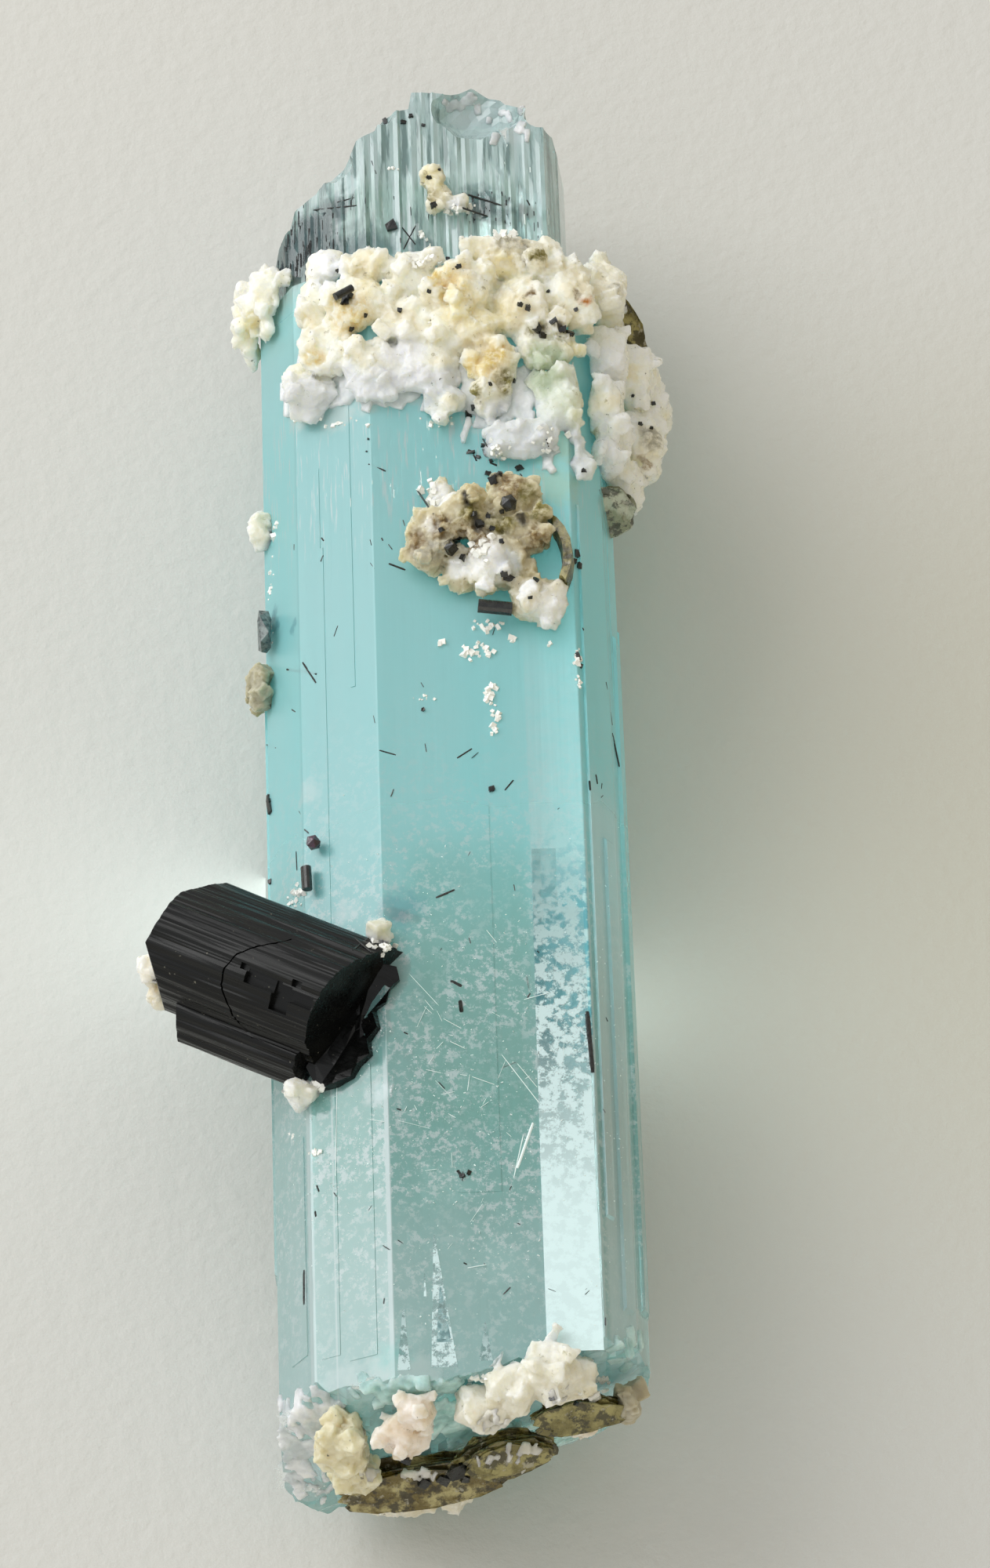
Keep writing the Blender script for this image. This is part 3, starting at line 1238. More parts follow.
def make_base():
    """The albite on the broken base, round the tourmaline and on the left edge."""
    grip = tree_of(bpy.data.objects["beryl_prism"], bpy.data.objects["schorl_crystal"])
    sight = beryl_tree()
    for name, node, seed, tone, slot, blocks in BASE_BODIES:
        body = grown_body(name, node, BASE_VOXEL, seed, grip, blocks, BASE_SIZES, rough=0.35)
        dress(body, albite_finish(name + "_finish", paint(*tone), sight, PATCHES.get(name, ())))
        settle(body)
        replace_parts(body, node)


def mica_leaves(name, centre, length, width, thickness, turn, heap):
    """A book of thin torn leaves, each shifted and trimmed a little from the last."""
    chance = random.Random(name)
    turn = Euler([math.radians(t) for t in turn]).to_matrix()
    leaves = 15
    corners = 30
    for leaf in range(leaves):
        low = -0.5 + leaf / leaves
        share = chance.uniform(0.7, 1.05)
        shift = Vector((chance.uniform(-0.09, 0.09) * length, chance.uniform(-0.09, 0.09) * width, 0))
        ring = []
        for i in range(corners):
            angle = i * math.tau / corners
            around = Vector((math.cos(angle), math.sin(angle), 0.0))
            torn = noise.noise(around * 1.3 + Vector((leaf * 0.35, 0.0, thickness)))
            torn += 0.5 * noise.noise(around * 4.0 + Vector((leaf * 0.8, 5.0, thickness)))
            reach = share * (0.92 + 0.28 * torn)
            ring.append((reach * length / 2 * around.x, reach * width / 2 * around.y))
        points = []
        for height in (low, low + 0.86 / leaves):
            for x, y in ring:
                bend = 0.12 * noise.noise(Vector((x * 0.9, y * 0.9, leaf * 0.25)))
                points.append(Vector(centre) + turn @ (Vector((x, y, height * thickness + bend)) + shift))
        faces = [tuple(range(corners))[::-1], tuple(range(corners, 2 * corners))]
        for i in range(corners):
            j = (i + 1) % corners
            faces.append((i, j, corners + j, corners + i))
        heap.add(points, faces)


def make_mica(settings):
    """The mica books on the base and the lobe, and the curved blade on the cluster."""
    olive = mica_finish("olive_mica", tuple(settings.mica_colour), paint(160, 152, 98))
    brown = mica_finish("brown_mica", paint(104, 90, 38), paint(176, 166, 116))
    pale = mica_finish("pale_mica", paint(150, 152, 124), paint(196, 198, 178))
    finishes = {"lobe_plate": (pale, "pale_mica"), "mica_book_lower": (brown, "mica")}
    for name, *shape in MICA_BOOKS:
        heap = Heap()
        mica_leaves(name, *shape, heap)
        finish, slot = finishes.get(name, (olive, "mica"))
        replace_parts(heap.piece(name + "_leaves", finish), name)
    dress(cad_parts["mica_blade"], olive)


def make_small_grains():
    """Finishes the small solids that keep their own shape."""
    black = plain_mineral("schorl_grain", paint(10, 12, 11), paint(30, 33, 30), 0.3)
    for node in ("cluster_schorl_prism", "cluster_black_grain", "band_schorl_left", "edge_schorl_prism"):
        dress(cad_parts[node], black)
    garnet = plain_mineral("garnet_grain", paint(70, 24, 58), paint(34, 14, 34), 0.22, ior=1.8)
    dress(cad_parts["garnet"], garnet)
    grey = plain_mineral("grey_plate", paint(46, 56, 58), paint(128, 140, 138), 0.35)
    dress(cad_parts["edge_plate_grey"], grey)


# Needles of tourmaline in and on the beryl: (frame u, v of each end, radius and depth in mm).
NEEDLES = (
    (470, 592, 492, 601, 0.055, 0.05), (532, 625, 553, 656, 0.06, 0.02),
    (496, 719, 517, 727, 0.06, 0.02), (366, 854, 404, 860, 0.075, 0.15),
    (386, 845, 403, 871, 0.06, 0.15), (426, 812, 431, 798, 0.035, 0.3),
    (484, 957, 505, 963, 0.045, 0.3), (583, 967, 602, 955, 0.05, 0.3), (644, 1008, 655, 995, 0.05, 0.3),
    (556, 1145, 580, 1135, 0.07, 0.6), (575, 1251, 589, 1258, 0.11, 1.2),
    (587, 1276, 589, 1291, 0.13, 1.2), (672, 1244, 675, 1262, 0.07, 1.6),
    (640, 1362, 660, 1354, 0.07, 1.6), (749, 1290, 756, 1368, 0.16, 1.6),
    (388, 1620, 388, 1664, 0.10, 0.8), (402, 1545, 403, 1552, 0.06, 0.2),
    (404, 1512, 407, 1520, 0.06, 0.2), (773, 870, 781, 925, 0.045, 0.1),
    (781, 935, 790, 978, 0.05, 0.1), (752, 996, 753, 1008, 0.06, 0.1), (760, 988, 762, 1000, 0.06, 0.1),
    (378, 1086, 379, 1110, 0.045, 0.02), (450, 1212, 482, 1188, 0.05, -0.35),
    (452, 1196, 474, 1215, 0.05, -0.35), (458, 1202, 476, 1198, 0.04, -0.35),
    (472, 688, 474, 696, 0.03, 0.3), (410, 686, 413, 690, 0.05, 0.3), (372, 905, 377, 908, 0.04, 0.2),
    (660, 1560, 664, 1562, 0.05, 0.9), (506, 1414, 512, 1416, 0.05, 0.5),
    (340, 950, 352, 954, 0.04, 0.05), (620, 800, 623, 806, 0.04, 0.2), (604, 580, 608, 588, 0.05, 0.02),
    (597, 574, 606, 578, 0.07, 0.02), (616, 560, 622, 570, 0.05, 0.02),
    (625, 590, 634, 594, 0.06, 0.02), (697, 560, 700, 570, 0.04, 0.02),
    (400, 268, 455, 262, 0.05, 0.15), (430, 258, 452, 252, 0.04, 0.15),
    (515, 318, 530, 288, 0.045, 0.2), (513, 290, 530, 312, 0.045, 0.2), (580, 262, 622, 276, 0.06, 0.2),
    (590, 246, 640, 262, 0.06, 0.3), (474, 205, 480, 222, 0.035, 0.1), (672, 255, 676, 262, 0.05, 0.2),
)

# Dark grains: (frame u, v, half width and half height in mm). They sit in the surface that shows there.
DARK_GRAINS = (
    (441, 383, 0.22, 0.30), (447, 377, 0.14, 0.16), (448, 419, 0.14, 0.12), (466, 402, 0.10, 0.10),
    (432, 345, 0.12, 0.12), (510, 396, 0.12, 0.12), (548, 371, 0.10, 0.10), (585, 340, 0.14, 0.12),
    (571, 330, 0.10, 0.08), (673, 392, 0.16, 0.14), (663, 388, 0.12, 0.10), (684, 420, 0.26, 0.26),
    (692, 428, 0.20, 0.18), (706, 410, 0.20, 0.12), (716, 421, 0.28, 0.14), (727, 425, 0.22, 0.12),
    (735, 395, 0.10, 0.10), (700, 372, 0.10, 0.08), (595, 514, 0.20, 0.20), (597, 528, 0.16, 0.22),
    (604, 520, 0.14, 0.12), (660, 505, 0.10, 0.16), (655, 486, 0.12, 0.12), (625, 490, 0.10, 0.10),
    (601, 577, 0.22, 0.09), (610, 583, 0.12, 0.09), (616, 568, 0.09, 0.11), (626, 588, 0.10, 0.08),
    (629, 612, 0.20, 0.24), (622, 604, 0.14, 0.12), (638, 604, 0.12, 0.10), (662, 597, 0.20, 0.14),
    (575, 700, 0.26, 0.28), (583, 688, 0.18, 0.16), (612, 668, 0.20, 0.16), (622, 658, 0.16, 0.12),
    (605, 655, 0.16, 0.12), (628, 674, 0.14, 0.12), (563, 676, 0.14, 0.12), (590, 712, 0.16, 0.16),
    (640, 690, 0.12, 0.12), (650, 737, 0.30, 0.20), (643, 732, 0.18, 0.14), (683, 740, 0.14, 0.14),
    (676, 762, 0.10, 0.10), (640, 652, 0.12, 0.10), (735, 706, 0.14, 0.22), (738, 722, 0.16, 0.20),
    (732, 716, 0.12, 0.12), (833, 515, 0.12, 0.10), (817, 541, 0.10, 0.10), (831, 546, 0.08, 0.08),
    (808, 505, 0.08, 0.08), (745, 600, 0.12, 0.10), (627, 1007, 0.16, 0.12), (540, 905, 0.09, 0.09),
    (345, 1125, 0.10, 0.12), (345, 1030, 0.16, 0.45), (343, 1018, 0.10, 0.16), (737, 838, 0.10, 0.22),
    (741, 850, 0.08, 0.12), (498, 290, 0.30, 0.28), (524, 148, 0.10, 0.10), (540, 160, 0.10, 0.08),
    (515, 156, 0.16, 0.10), (492, 155, 0.12, 0.20), (548, 226, 0.14, 0.12), (553, 262, 0.16, 0.14),
    (560, 216, 0.08, 0.08), (583, 1874, 0.42, 0.40), (566, 1886, 0.34, 0.30), (541, 1890, 0.28, 0.26),
    (518, 1864, 0.20, 0.16), (594, 1886, 0.22, 0.20), (705, 1784, 0.14, 0.10), (762, 1782, 0.16, 0.12),
    (735, 1790, 0.12, 0.10), (590, 1500, 0.14, 0.10), (598, 1496, 0.10, 0.10), (585, 1495, 0.06, 0.12),
    (470, 560, 0.05, 0.05), (468, 576, 0.05, 0.04),
)

# Groups of white grains: (frame u, v, spread across and along in mm, number, largest half size).
WHITE_GRAINS = (
    (560, 822, 0.25, 0.25, 4, 0.17), (604, 828, 0.55, 0.40, 14, 0.20), (625, 800, 0.70, 0.35, 16, 0.17),
    (625, 832, 0.25, 0.25, 5, 0.17), (655, 815, 0.25, 0.20, 5, 0.15), (700, 822, 0.25, 0.30, 4, 0.12),
    (628, 885, 0.35, 0.60, 14, 0.17), (632, 912, 0.35, 0.55, 12, 0.15), (628, 930, 0.20, 0.18, 4, 0.20),
    (540, 888, 0.55, 0.30, 9, 0.07), (737, 842, 0.18, 0.75, 16, 0.13), (738, 870, 0.15, 0.35, 6, 0.10),
    (343, 684, 0.22, 0.65, 14, 0.20), (352, 670, 0.20, 0.20, 4, 0.12), (345, 745, 0.12, 0.80, 12, 0.10),
    (380, 1140, 0.30, 0.45, 14, 0.17), (375, 1155, 0.25, 0.15, 5, 0.12),
    (345, 800, 0.15, 0.60, 8, 0.12), (340, 870, 0.20, 0.70, 10, 0.14),
    (385, 1386, 0.95, 0.22, 20, 0.20), (403, 1470, 0.45, 0.16, 10, 0.12),
    (375, 1450, 0.25, 0.20, 5, 0.08), (492, 1210, 0.60, 0.25, 16, 0.17),
    (610, 700, 0.60, 0.60, 10, 0.20), (548, 628, 0.55, 0.60, 12, 0.24), (636, 300, 0.45, 0.20, 8, 0.24),
    (655, 300, 0.20, 0.20, 5, 0.22), (540, 300, 0.25, 0.20, 6, 0.16), (500, 215, 0.25, 0.12, 4, 0.10),
    (540, 335, 1.2, 0.25, 14, 0.20), (585, 268, 0.65, 0.35, 12, 0.17), (700, 560, 0.60, 0.90, 10, 0.16),
    (640, 575, 0.60, 0.50, 10, 0.14), (560, 540, 1.0, 0.30, 12, 0.12), (430, 540, 1.6, 0.25, 12, 0.12),
    (610, 1758, 0.6, 0.2, 9, 0.14), (770, 1760, 0.35, 0.2, 8, 0.16),
)

# Hollow tubes and pale threads inside the beryl: (frame u, v, u, v, radius, depth).
TUBES = (
    (660, 1490, 680, 1432, 0.10, 0.06), (655, 1504, 668, 1446, 0.05, 0.04),
    (615, 1410, 637, 1372, 0.05, 0.04), (640, 1345, 698, 1420, 0.03, 0.02),
    (622, 1330, 680, 1372, 0.025, 0.05), (690, 1420, 735, 1372, 0.035, 0.02),
    (675, 1440, 742, 1390, 0.025, 0.05), (520, 1240, 562, 1285, 0.035, 0.03),
    (520, 1340, 545, 1250, 0.02, 0.1), (640, 1290, 655, 1240, 0.025, 0.1),
    (527, 950, 540, 985, 0.015, 0.1), (430, 1380, 428, 1500, 0.02, 0.0),
    (700, 1290, 712, 1210, 0.02, 0.05),
)

# Sheets near the beryl's skin: (frame u, v, depth, half width, half length, tilt in degrees, thickness).
# First faint clouds of bubbles, then frosty patches, most in the base's clear corner, then smoky clouds.
VEILS = (
    (540, 1310, 1.2, 2.2, 3.4, 18, 0.9), (600, 1380, 1.6, 3.0, 3.6, -14, 0.8),
    (690, 1340, 1.4, 1.8, 3.6, 26, 1.0), (560, 1500, 1.6, 2.8, 3.6, 9, 0.7),
    (640, 1600, 1.4, 2.4, 3.4, -22, 0.7), (440, 1160, 0.9, 1.4, 1.2, -18, 1.0),
    (390, 1012, 0.7, 0.8, 1.2, 35, 1.0), (520, 1700, 1.2, 2.4, 2.0, 24, 0.8),
)

CORNER_CRACKS = (
    (374, 1822, 0.04, 0.9, 1.3, 3, 1.4), (388, 1850, 0.03, 1.1, 1.4, -2, 1.2),
    (372, 1880, 0.05, 0.9, 1.3, 4, 1.2), (405, 1898, 0.03, 1.1, 0.8, -3, 1.2),
    (470, 1768, 0.05, 1.2, 0.8, 4, 1.2), (385, 1395, 0.04, 0.9, 0.9, 3, 1.0),
    (485, 1392, 0.04, 0.8, 0.8, 3, 1.0), (600, 150, 0.06, 2.4, 1.0, 4, 1.0),
    (655, 176, 0.05, 1.2, 0.7, -4, 1.0),
)
SMOKE = (
    (365, 325, 0.35, 0.8, 1.4, 10, 1.0), (420, 322, 0.6, 1.3, 1.6, -12, 1.0),
    (512, 1158, 1.6, 1.3, 0.45, 12, 0.5), (388, 320, 0.8, 1.4, 2.2, -20, 0.9),
    (405, 290, 1.0, 1.3, 1.8, 14, 0.9), (378, 335, 0.4, 0.9, 1.2, 30, 1.0),
    (430, 262, 0.6, 1.2, 0.8, 8, 0.8), (615, 262, 0.6, 1.3, 0.8, -12, 0.8),
    (668, 265, 0.7, 0.9, 0.7, 16, 0.5),
)


def facing_turn(normal, tilt, roll=0.0):
    """A turn whose Z is the surface's normal, tilted about the prism's length."""
    side = Vector((0, 1, 0)).cross(normal).normalized()
    ahead = normal.cross(side)
    base = Matrix((side, ahead, normal)).transposed()
    return base @ Euler((0.0, math.radians(tilt), roll)).to_matrix()


# Fine streaks along the prism: (frame u from, to, v from, to, number, least and largest radius, length).
DARK_STREAKS = (
    (352, 402, 292, 352, 60, 0.03, 0.09, 1.4), (372, 440, 262, 350, 60, 0.02, 0.07, 1.6),
    (440, 560, 240, 330, 34, 0.015, 0.05, 0.8), (586, 652, 244, 284, 46, 0.02, 0.06, 0.5),
    (655, 702, 255, 330, 18, 0.02, 0.05, 0.7), (352, 420, 228, 262, 8, 0.02, 0.04, 0.5),
)
LIGHT_STREAKS = (
    (636, 700, 180, 330, 26, 0.02, 0.05, 1.4), (470, 640, 530, 625, 110, 0.012, 0.030, 1.1),
    (375, 470, 545, 660, 44, 0.012, 0.026, 0.9), (690, 745, 760, 1000, 16, 0.010, 0.02, 0.8),
)


# How deep a streak may start, in mm.
DARK_STREAK_DEPTH = 0.06
LIGHT_STREAK_DEPTH = 0.05


def add_streaks(heap, tree, regions, chance, deepest):
    """Scatters thin rods along the prism over regions of the frame."""
    for left, right, top, bottom, number, thin, thick, long in regions:
        for _ in range(number):
            point, normal = spot(tree, chance.uniform(left, right), chance.uniform(top, bottom))
            start = point - normal * chance.uniform(0.0, deepest)
            way = Vector((chance.uniform(-0.04, 0.04), -1.0, chance.uniform(-0.1, 0.0)))
            end = start + way * long * chance.uniform(0.2, 1.0)
            heap.rod(start, end, chance.uniform(thin, thick), 4, 0.3)


# A needle lies this share of its table's depth under the skin, so that it shows.
NEEDLE_SINK = 0.04

# Needles scattered over this part of the frame: their number, and the field's u and v.
LOOSE_NEEDLES = 52
NEEDLE_FIELD = ((365, 780), (600, 1700))


def make_needles(tree, inside):
    """Needles at their places, loose ones in the skin, and the dark streaks."""
    heap = Heap()
    for u0, v0, u1, v1, radius, depth in NEEDLES:
        start, _ = spot(tree, u0, v0, depth * NEEDLE_SINK)
        end, _ = spot(tree, u1, v1, depth * NEEDLE_SINK)
        heap.rod(start, end, radius, 6, 0.75)
    chance = random.Random(NEEDLE_SEED)
    for _ in range(LOOSE_NEEDLES):
        point, normal = spot(inside, chance.uniform(*NEEDLE_FIELD[0]), chance.uniform(*NEEDLE_FIELD[1]))
        turn = facing_turn(normal, chance.uniform(-6, 6), chance.uniform(-2.6, -0.4))
        way = turn @ Vector((chance.uniform(0.12, 0.6), 0, 0))
        heap.rod(point, point + way, chance.uniform(0.018, 0.045), 5)
    add_streaks(heap, inside, DARK_STREAKS, chance, DARK_STREAK_DEPTH)
    return heap.piece("schorl_needles", bpy.data.materials["schorl_grain"])


def make_dark_grains(tree):
    """Dark grains, each a block with three crumbs round it."""
    heap = Heap()
    chance = random.Random(DARK_SEED)
    for u, v, wide, tall in DARK_GRAINS:
        point, normal = spot(tree, u, v)
        turn = facing_turn(normal, chance.uniform(-25, 25), chance.uniform(-0.5, 0.5))
        heap.block(point, (wide, tall, 0.6 * min(wide, tall) + 0.05), turn, chance, 0.3)
        for _ in range(3):
            shift = Vector((chance.uniform(-1, 1) * wide, chance.uniform(-1, 1) * tall, 0))
            size = 0.45 * min(wide, tall)
            heap.block(point + turn @ shift, (size, size, size), random_turn(chance), chance, 0.3)
    return heap.piece("schorl_grains", bpy.data.materials["schorl_grain"])


def make_white_grains(tree):
    """Groups of white sugar grains."""
    heap = Heap()
    chance = random.Random(WHITE_SEED)
    for u, v, across, along, number, largest in WHITE_GRAINS:
        for _ in range(number):
            shake_u = chance.gauss(0, 0.6) * across * FOCAL_PIXELS / CAMERA_DISTANCE
            shake_v = chance.gauss(0, 0.6) * along * FOCAL_PIXELS / CAMERA_DISTANCE
            point, _, _, _ = tree.ray_cast(CAMERA_PLACE, sight_line(u + shake_u, v + shake_v))
            if point is None:
                continue
            size = largest * chance.uniform(0.35, 1.0)
            halves = [size * chance.uniform(0.7, 1.1) for _ in range(3)]
            heap.block(point, halves, random_turn(chance), chance, 0.25)
    return heap.piece("albite_grains", bpy.data.materials["sugar_grain"])


# Bright specks in the beryl's skin: their number, and u and v from, to; the last v has the most.
FLECKS = 900
FLECK_ACROSS = (365, 800)
FLECK_ALONG = (1000, 1740, 1450)


def make_flecks(tree):
    """Bright pinpoints and dust in the beryl, thicker towards its foot."""
    heap = Heap()
    chance = random.Random(FLECK_SEED)
    for _ in range(FLECKS):
        u = chance.uniform(*FLECK_ACROSS)
        v = chance.triangular(*FLECK_ALONG)
        point, normal, _, _ = tree.ray_cast(CAMERA_PLACE, sight_line(u, v))
        if point is None:
            continue
        deep = chance.uniform(-0.01, 0.03)
        size = chance.uniform(0.010, 0.034)
        place = point - normal * deep
        heap.block(place, (size, size * chance.uniform(0.6, 2.4), size * 0.6), random_turn(chance), chance)
    return heap.piece("bubble_dust", bpy.data.materials["white_thread"])


# Pale threads: their number, and u and v from, to and where there are most.
THREADS = 260
THREAD_ACROSS = (500, 760, 600)
THREAD_ALONG = (1180, 1640, 1380)


def make_tubes(tree):
    """Hollow tubes at their places, loose threads, and the light streaks."""
    heap = Heap()
    for u0, v0, u1, v1, radius, depth in TUBES:
        start, _ = spot(tree, u0, v0, depth)
        end, _ = spot(tree, u1, v1, depth)
        heap.rod(start, end, radius, 8, 0.8)
    chance = random.Random(THREAD_SEED)
    for _ in range(THREADS):
        u = chance.triangular(*THREAD_ACROSS)
        v = chance.triangular(*THREAD_ALONG)
        point, _ = spot(tree, u, v, chance.uniform(0.0, 0.3))
        angle = chance.uniform(0, math.pi)
        way = Vector((math.cos(angle), math.sin(angle), chance.uniform(-0.2, 0.2)))
        end = point + way * chance.uniform(0.15, 1.0) ** 2 * 2.2
        heap.rod(point, end, chance.uniform(0.010, 0.024), 4)
    add_streaks(heap, tree, LIGHT_STREAKS, chance, LIGHT_STREAK_DEPTH)
    return heap.piece("growth_tubes", bpy.data.materials["white_thread"])


def slab_faces(across, along):
    """Faces of a thin closed slab whose two sides are grids of points, upper side first."""
    row = across + 1
    side = row * (along + 1)
    faces = []
    for j in range(along):
        for i in range(across):
            k = j * row + i
            faces.append((k, k + 1, k + row + 1, k + row))
            faces.append((k + side + row, k + side + row + 1, k + side + 1, k + side))
    rim = list(range(row))
    rim += [j * row + across for j in range(1, along + 1)]
    rim += [along * row + i for i in range(across - 1, -1, -1)]
    rim += [j * row for j in range(along - 1, 0, -1)]
    for i, k in enumerate(rim):
        following = rim[(i + 1) % len(rim)]
        faces.append((following, k, k + side, following + side))
    return faces


# A sheet's thickness in mm, and its faces to a side.
SHEET = 0.012
SHEET_STEPS = 14


def sheet_piece(name, tree, rows, material):
    """Thin crumpled sheets near the beryl's skin, joined in one piece."""
    heap = Heap()
    steps = SHEET_STEPS
    for number, (u, v, depth, wide, long, tilt, thick) in enumerate(rows):
        centre, normal = spot(tree, u, v, depth)
        turn = facing_turn(normal, tilt, 0.4 * math.sin(number * 2.1))
        points = []
        for side in (0.0, -SHEET * thick):
            for j in range(steps + 1):
                for i in range(steps + 1):
                    a = 2 * i / steps - 1
                    b = 2 * j / steps - 1
                    ragged = 1 + 0.25 * noise.noise(Vector((a * 2, b * 2, number * 3.0)))
                    bulge = noise.noise(Vector((a * 1.3, b * 1.3, number * 5.0 + 1)))
                    height = min(0.55, depth * 0.6) * bulge + side
                    points.append(centre + turn @ Vector((a * wide * ragged, b * long * ragged, height)))
                    heap.fades.append(max(0.0, 1.0 - math.hypot(a, b)))
        heap.add(points, slab_faces(steps, steps))
    return heap.piece(name, material, smooth=True)


# Bright films of air at the top face: (x from, to at the low end, x from, to at the high end, y low, y high,
# strength low, strength high).
FILMS = (
    (4.50, 7.50, 4.50, 7.45, -37.2, -29.0, 1.0, 0.95),
    (4.50, 7.45, 4.55, 7.40, -29.0, -17.0, 0.95, 0.77),
    (4.55, 7.40, 4.65, 7.30, -17.0, -8.0, 0.77, 0.0),
    (-1.65, -0.25, -1.35, -1.28, -37.9, -30.4, 0.84, 0.82),
    (-1.35, -0.55, -1.10, -1.00, -36.5, -33.4, 0.9, 0.7),
    (-3.45, -2.75, -3.10, -3.00, -38.0, -34.6, 0.8, 0.5),
    (-1.95, -1.80, -1.90, -1.85, -33.9, -32.6, 0.9, 0.8),
    (0.90, 1.60, 1.25, 1.30, -37.6, -35.4, 0.6, 0.3),
)
FILM_HALF = 0.008
FILM_ACROSS = 6
FILM_ALONG = 20


def film_finish():
    """White where the air film scatters light, broken by clear mottles."""
    finish = Finish("bright_film", roughness=0.3, ior=1.5)
    mottle = finish.noise(1300.0, 6.0, contrast=0.74)
    fade = finish.node("ShaderNodeAttribute", (), attribute_name=FADE).outputs["Fac"]
    share = finish.range(mottle, 0.44, 0.54, 0.0, 1.0)
    even = finish.range(fade, 0.76, 0.97, 0.0, 0.93)
    share = finish.math("ADD", finish.times(share, finish.math("SUBTRACT", 1.0, even)), even)
    finish.set(Base_Color=paint(226, 251, 253), Alpha=finish.times(share, fade))
    return finish.material


def make_films(material):
    """The films, each a thin plate that narrows and fades along the prism."""
    heap = Heap()
    for low_left, low_right, high_left, high_right, low, high, weak, strong in FILMS:
        points = []
        for side in (FILM_HALF, -FILM_HALF):
            for j in range(FILM_ALONG + 1):
                share = j / FILM_ALONG
                left = low_left + (high_left - low_left) * share
                right = low_right + (high_right - low_right) * share
                for i in range(FILM_ACROSS + 1):
                    x = left + (right - left) * i / FILM_ACROSS
                    points.append((x, low + (high - low) * share, PRISM_HEIGHT + FILM_HALF + side))
                    heap.fades.append(weak + (strong - weak) * share)
        heap.add(points, slab_faces(FILM_ACROSS, FILM_ALONG))
    return heap.piece("bright_films", material)


# Crusts of small grains: (frame u from, to, v from, to, number). First the band's icy lower fringe.
FRINGE = (
    (362, 445, 462, 535, 60), (440, 500, 440, 520, 60), (500, 592, 440, 515, 70),
    (590, 660, 470, 575, 44), (660, 705, 480, 600, 34),
)

# Frosted splinters on the base's clear corner and the head, and fresh beryl and crumbs on the base.
CORNER_FROST = (
    (358, 436, 1790, 1850, 90), (362, 440, 1840, 1915, 90), (380, 420, 1770, 1800, 10),
    (556, 636, 124, 140, 10), (620, 684, 140, 180, 12),
)
FRESH_BREAKS = (
    (450, 600, 1762, 1800, 60), (545, 600, 1790, 1836, 50), (570, 660, 1816, 1856, 50),
    (676, 770, 1808, 1856, 50), (782, 818, 1704, 1750, 12),
)
BASE_CRUMBS = (
    (470, 560, 1876, 1892, 12), (590, 650, 1800, 1832, 14), (610, 690, 1846, 1880, 12),
    (700, 790, 1768, 1800, 10),
)

# The lowest place of a crust's grain and the crust's voxel, in mm.
CRUST_FOOT = 0.8
CRUST_VOXEL = 0.09


def crust_finish(name, tone, light, clearest):
    """A translucent crust, mottled between two tones, whose clear spots let some of the ground show."""
    finish = Finish(name, roughness=0.35, ior=1.45)
    grain = finish.cells(2600.0)
    cloud = finish.noise(700.0, 4.0)
    finish.set(Base_Color=finish.blend(cloud, tone, light))
    finish.set(Alpha=finish.range(cloud, 0.35, 0.65, clearest, 1.0), Normal=finish.bump(grain, 0.00012, 0.6))
    finish.set(Subsurface_Weight=1.0, Subsurface_Scale=0.0008, Subsurface_Radius=(1.0, 1.0, 0.9))
    return finish.material


def grown_crust(name, tree, rows, material, seed, size):
    """Small grains that lie on the surface, grown into one crust."""
    heap = Heap()
    chance = random.Random(seed)
    for left, right, top, bottom, number in rows:
        for _ in range(number):
            point, normal = spot(tree, chance.uniform(left, right), chance.triangular(top, bottom, top))
            if point.z < CRUST_FOOT:
                continue
            half = (chance.uniform(0.16, 0.42), chance.uniform(0.25, 0.8), chance.uniform(0.12, 0.3))
            turn = facing_turn(normal, chance.uniform(-14, 14), chance.uniform(-0.5, 0.5))
            heap.block(point, [size * part for part in half], turn, chance, 0.25)
    crust = heap.piece(name, material)
    crust.data.transform(PLACE_BACK)
    fused(crust, CRUST_VOXEL, 2)
    crust.data.transform(PLACE)
    crust.data.shade_smooth()
    dress(crust, material)
    return crust


# The pieces that fine grains may lie on.
CARRIERS = (
    "albite_band_grown", "albite_veil_grown", "albite_knob_grown", "head_lump_grown", "cluster_grown",
    "side_lobe_grown", "schorl_crystal", "base_gold_grown", "base_pink_grown", "base_cream_grown",
    "beryl_prism", "mica_book_lower_leaves", "mica_book_middle_leaves", "mica_book_upper_leaves",
)


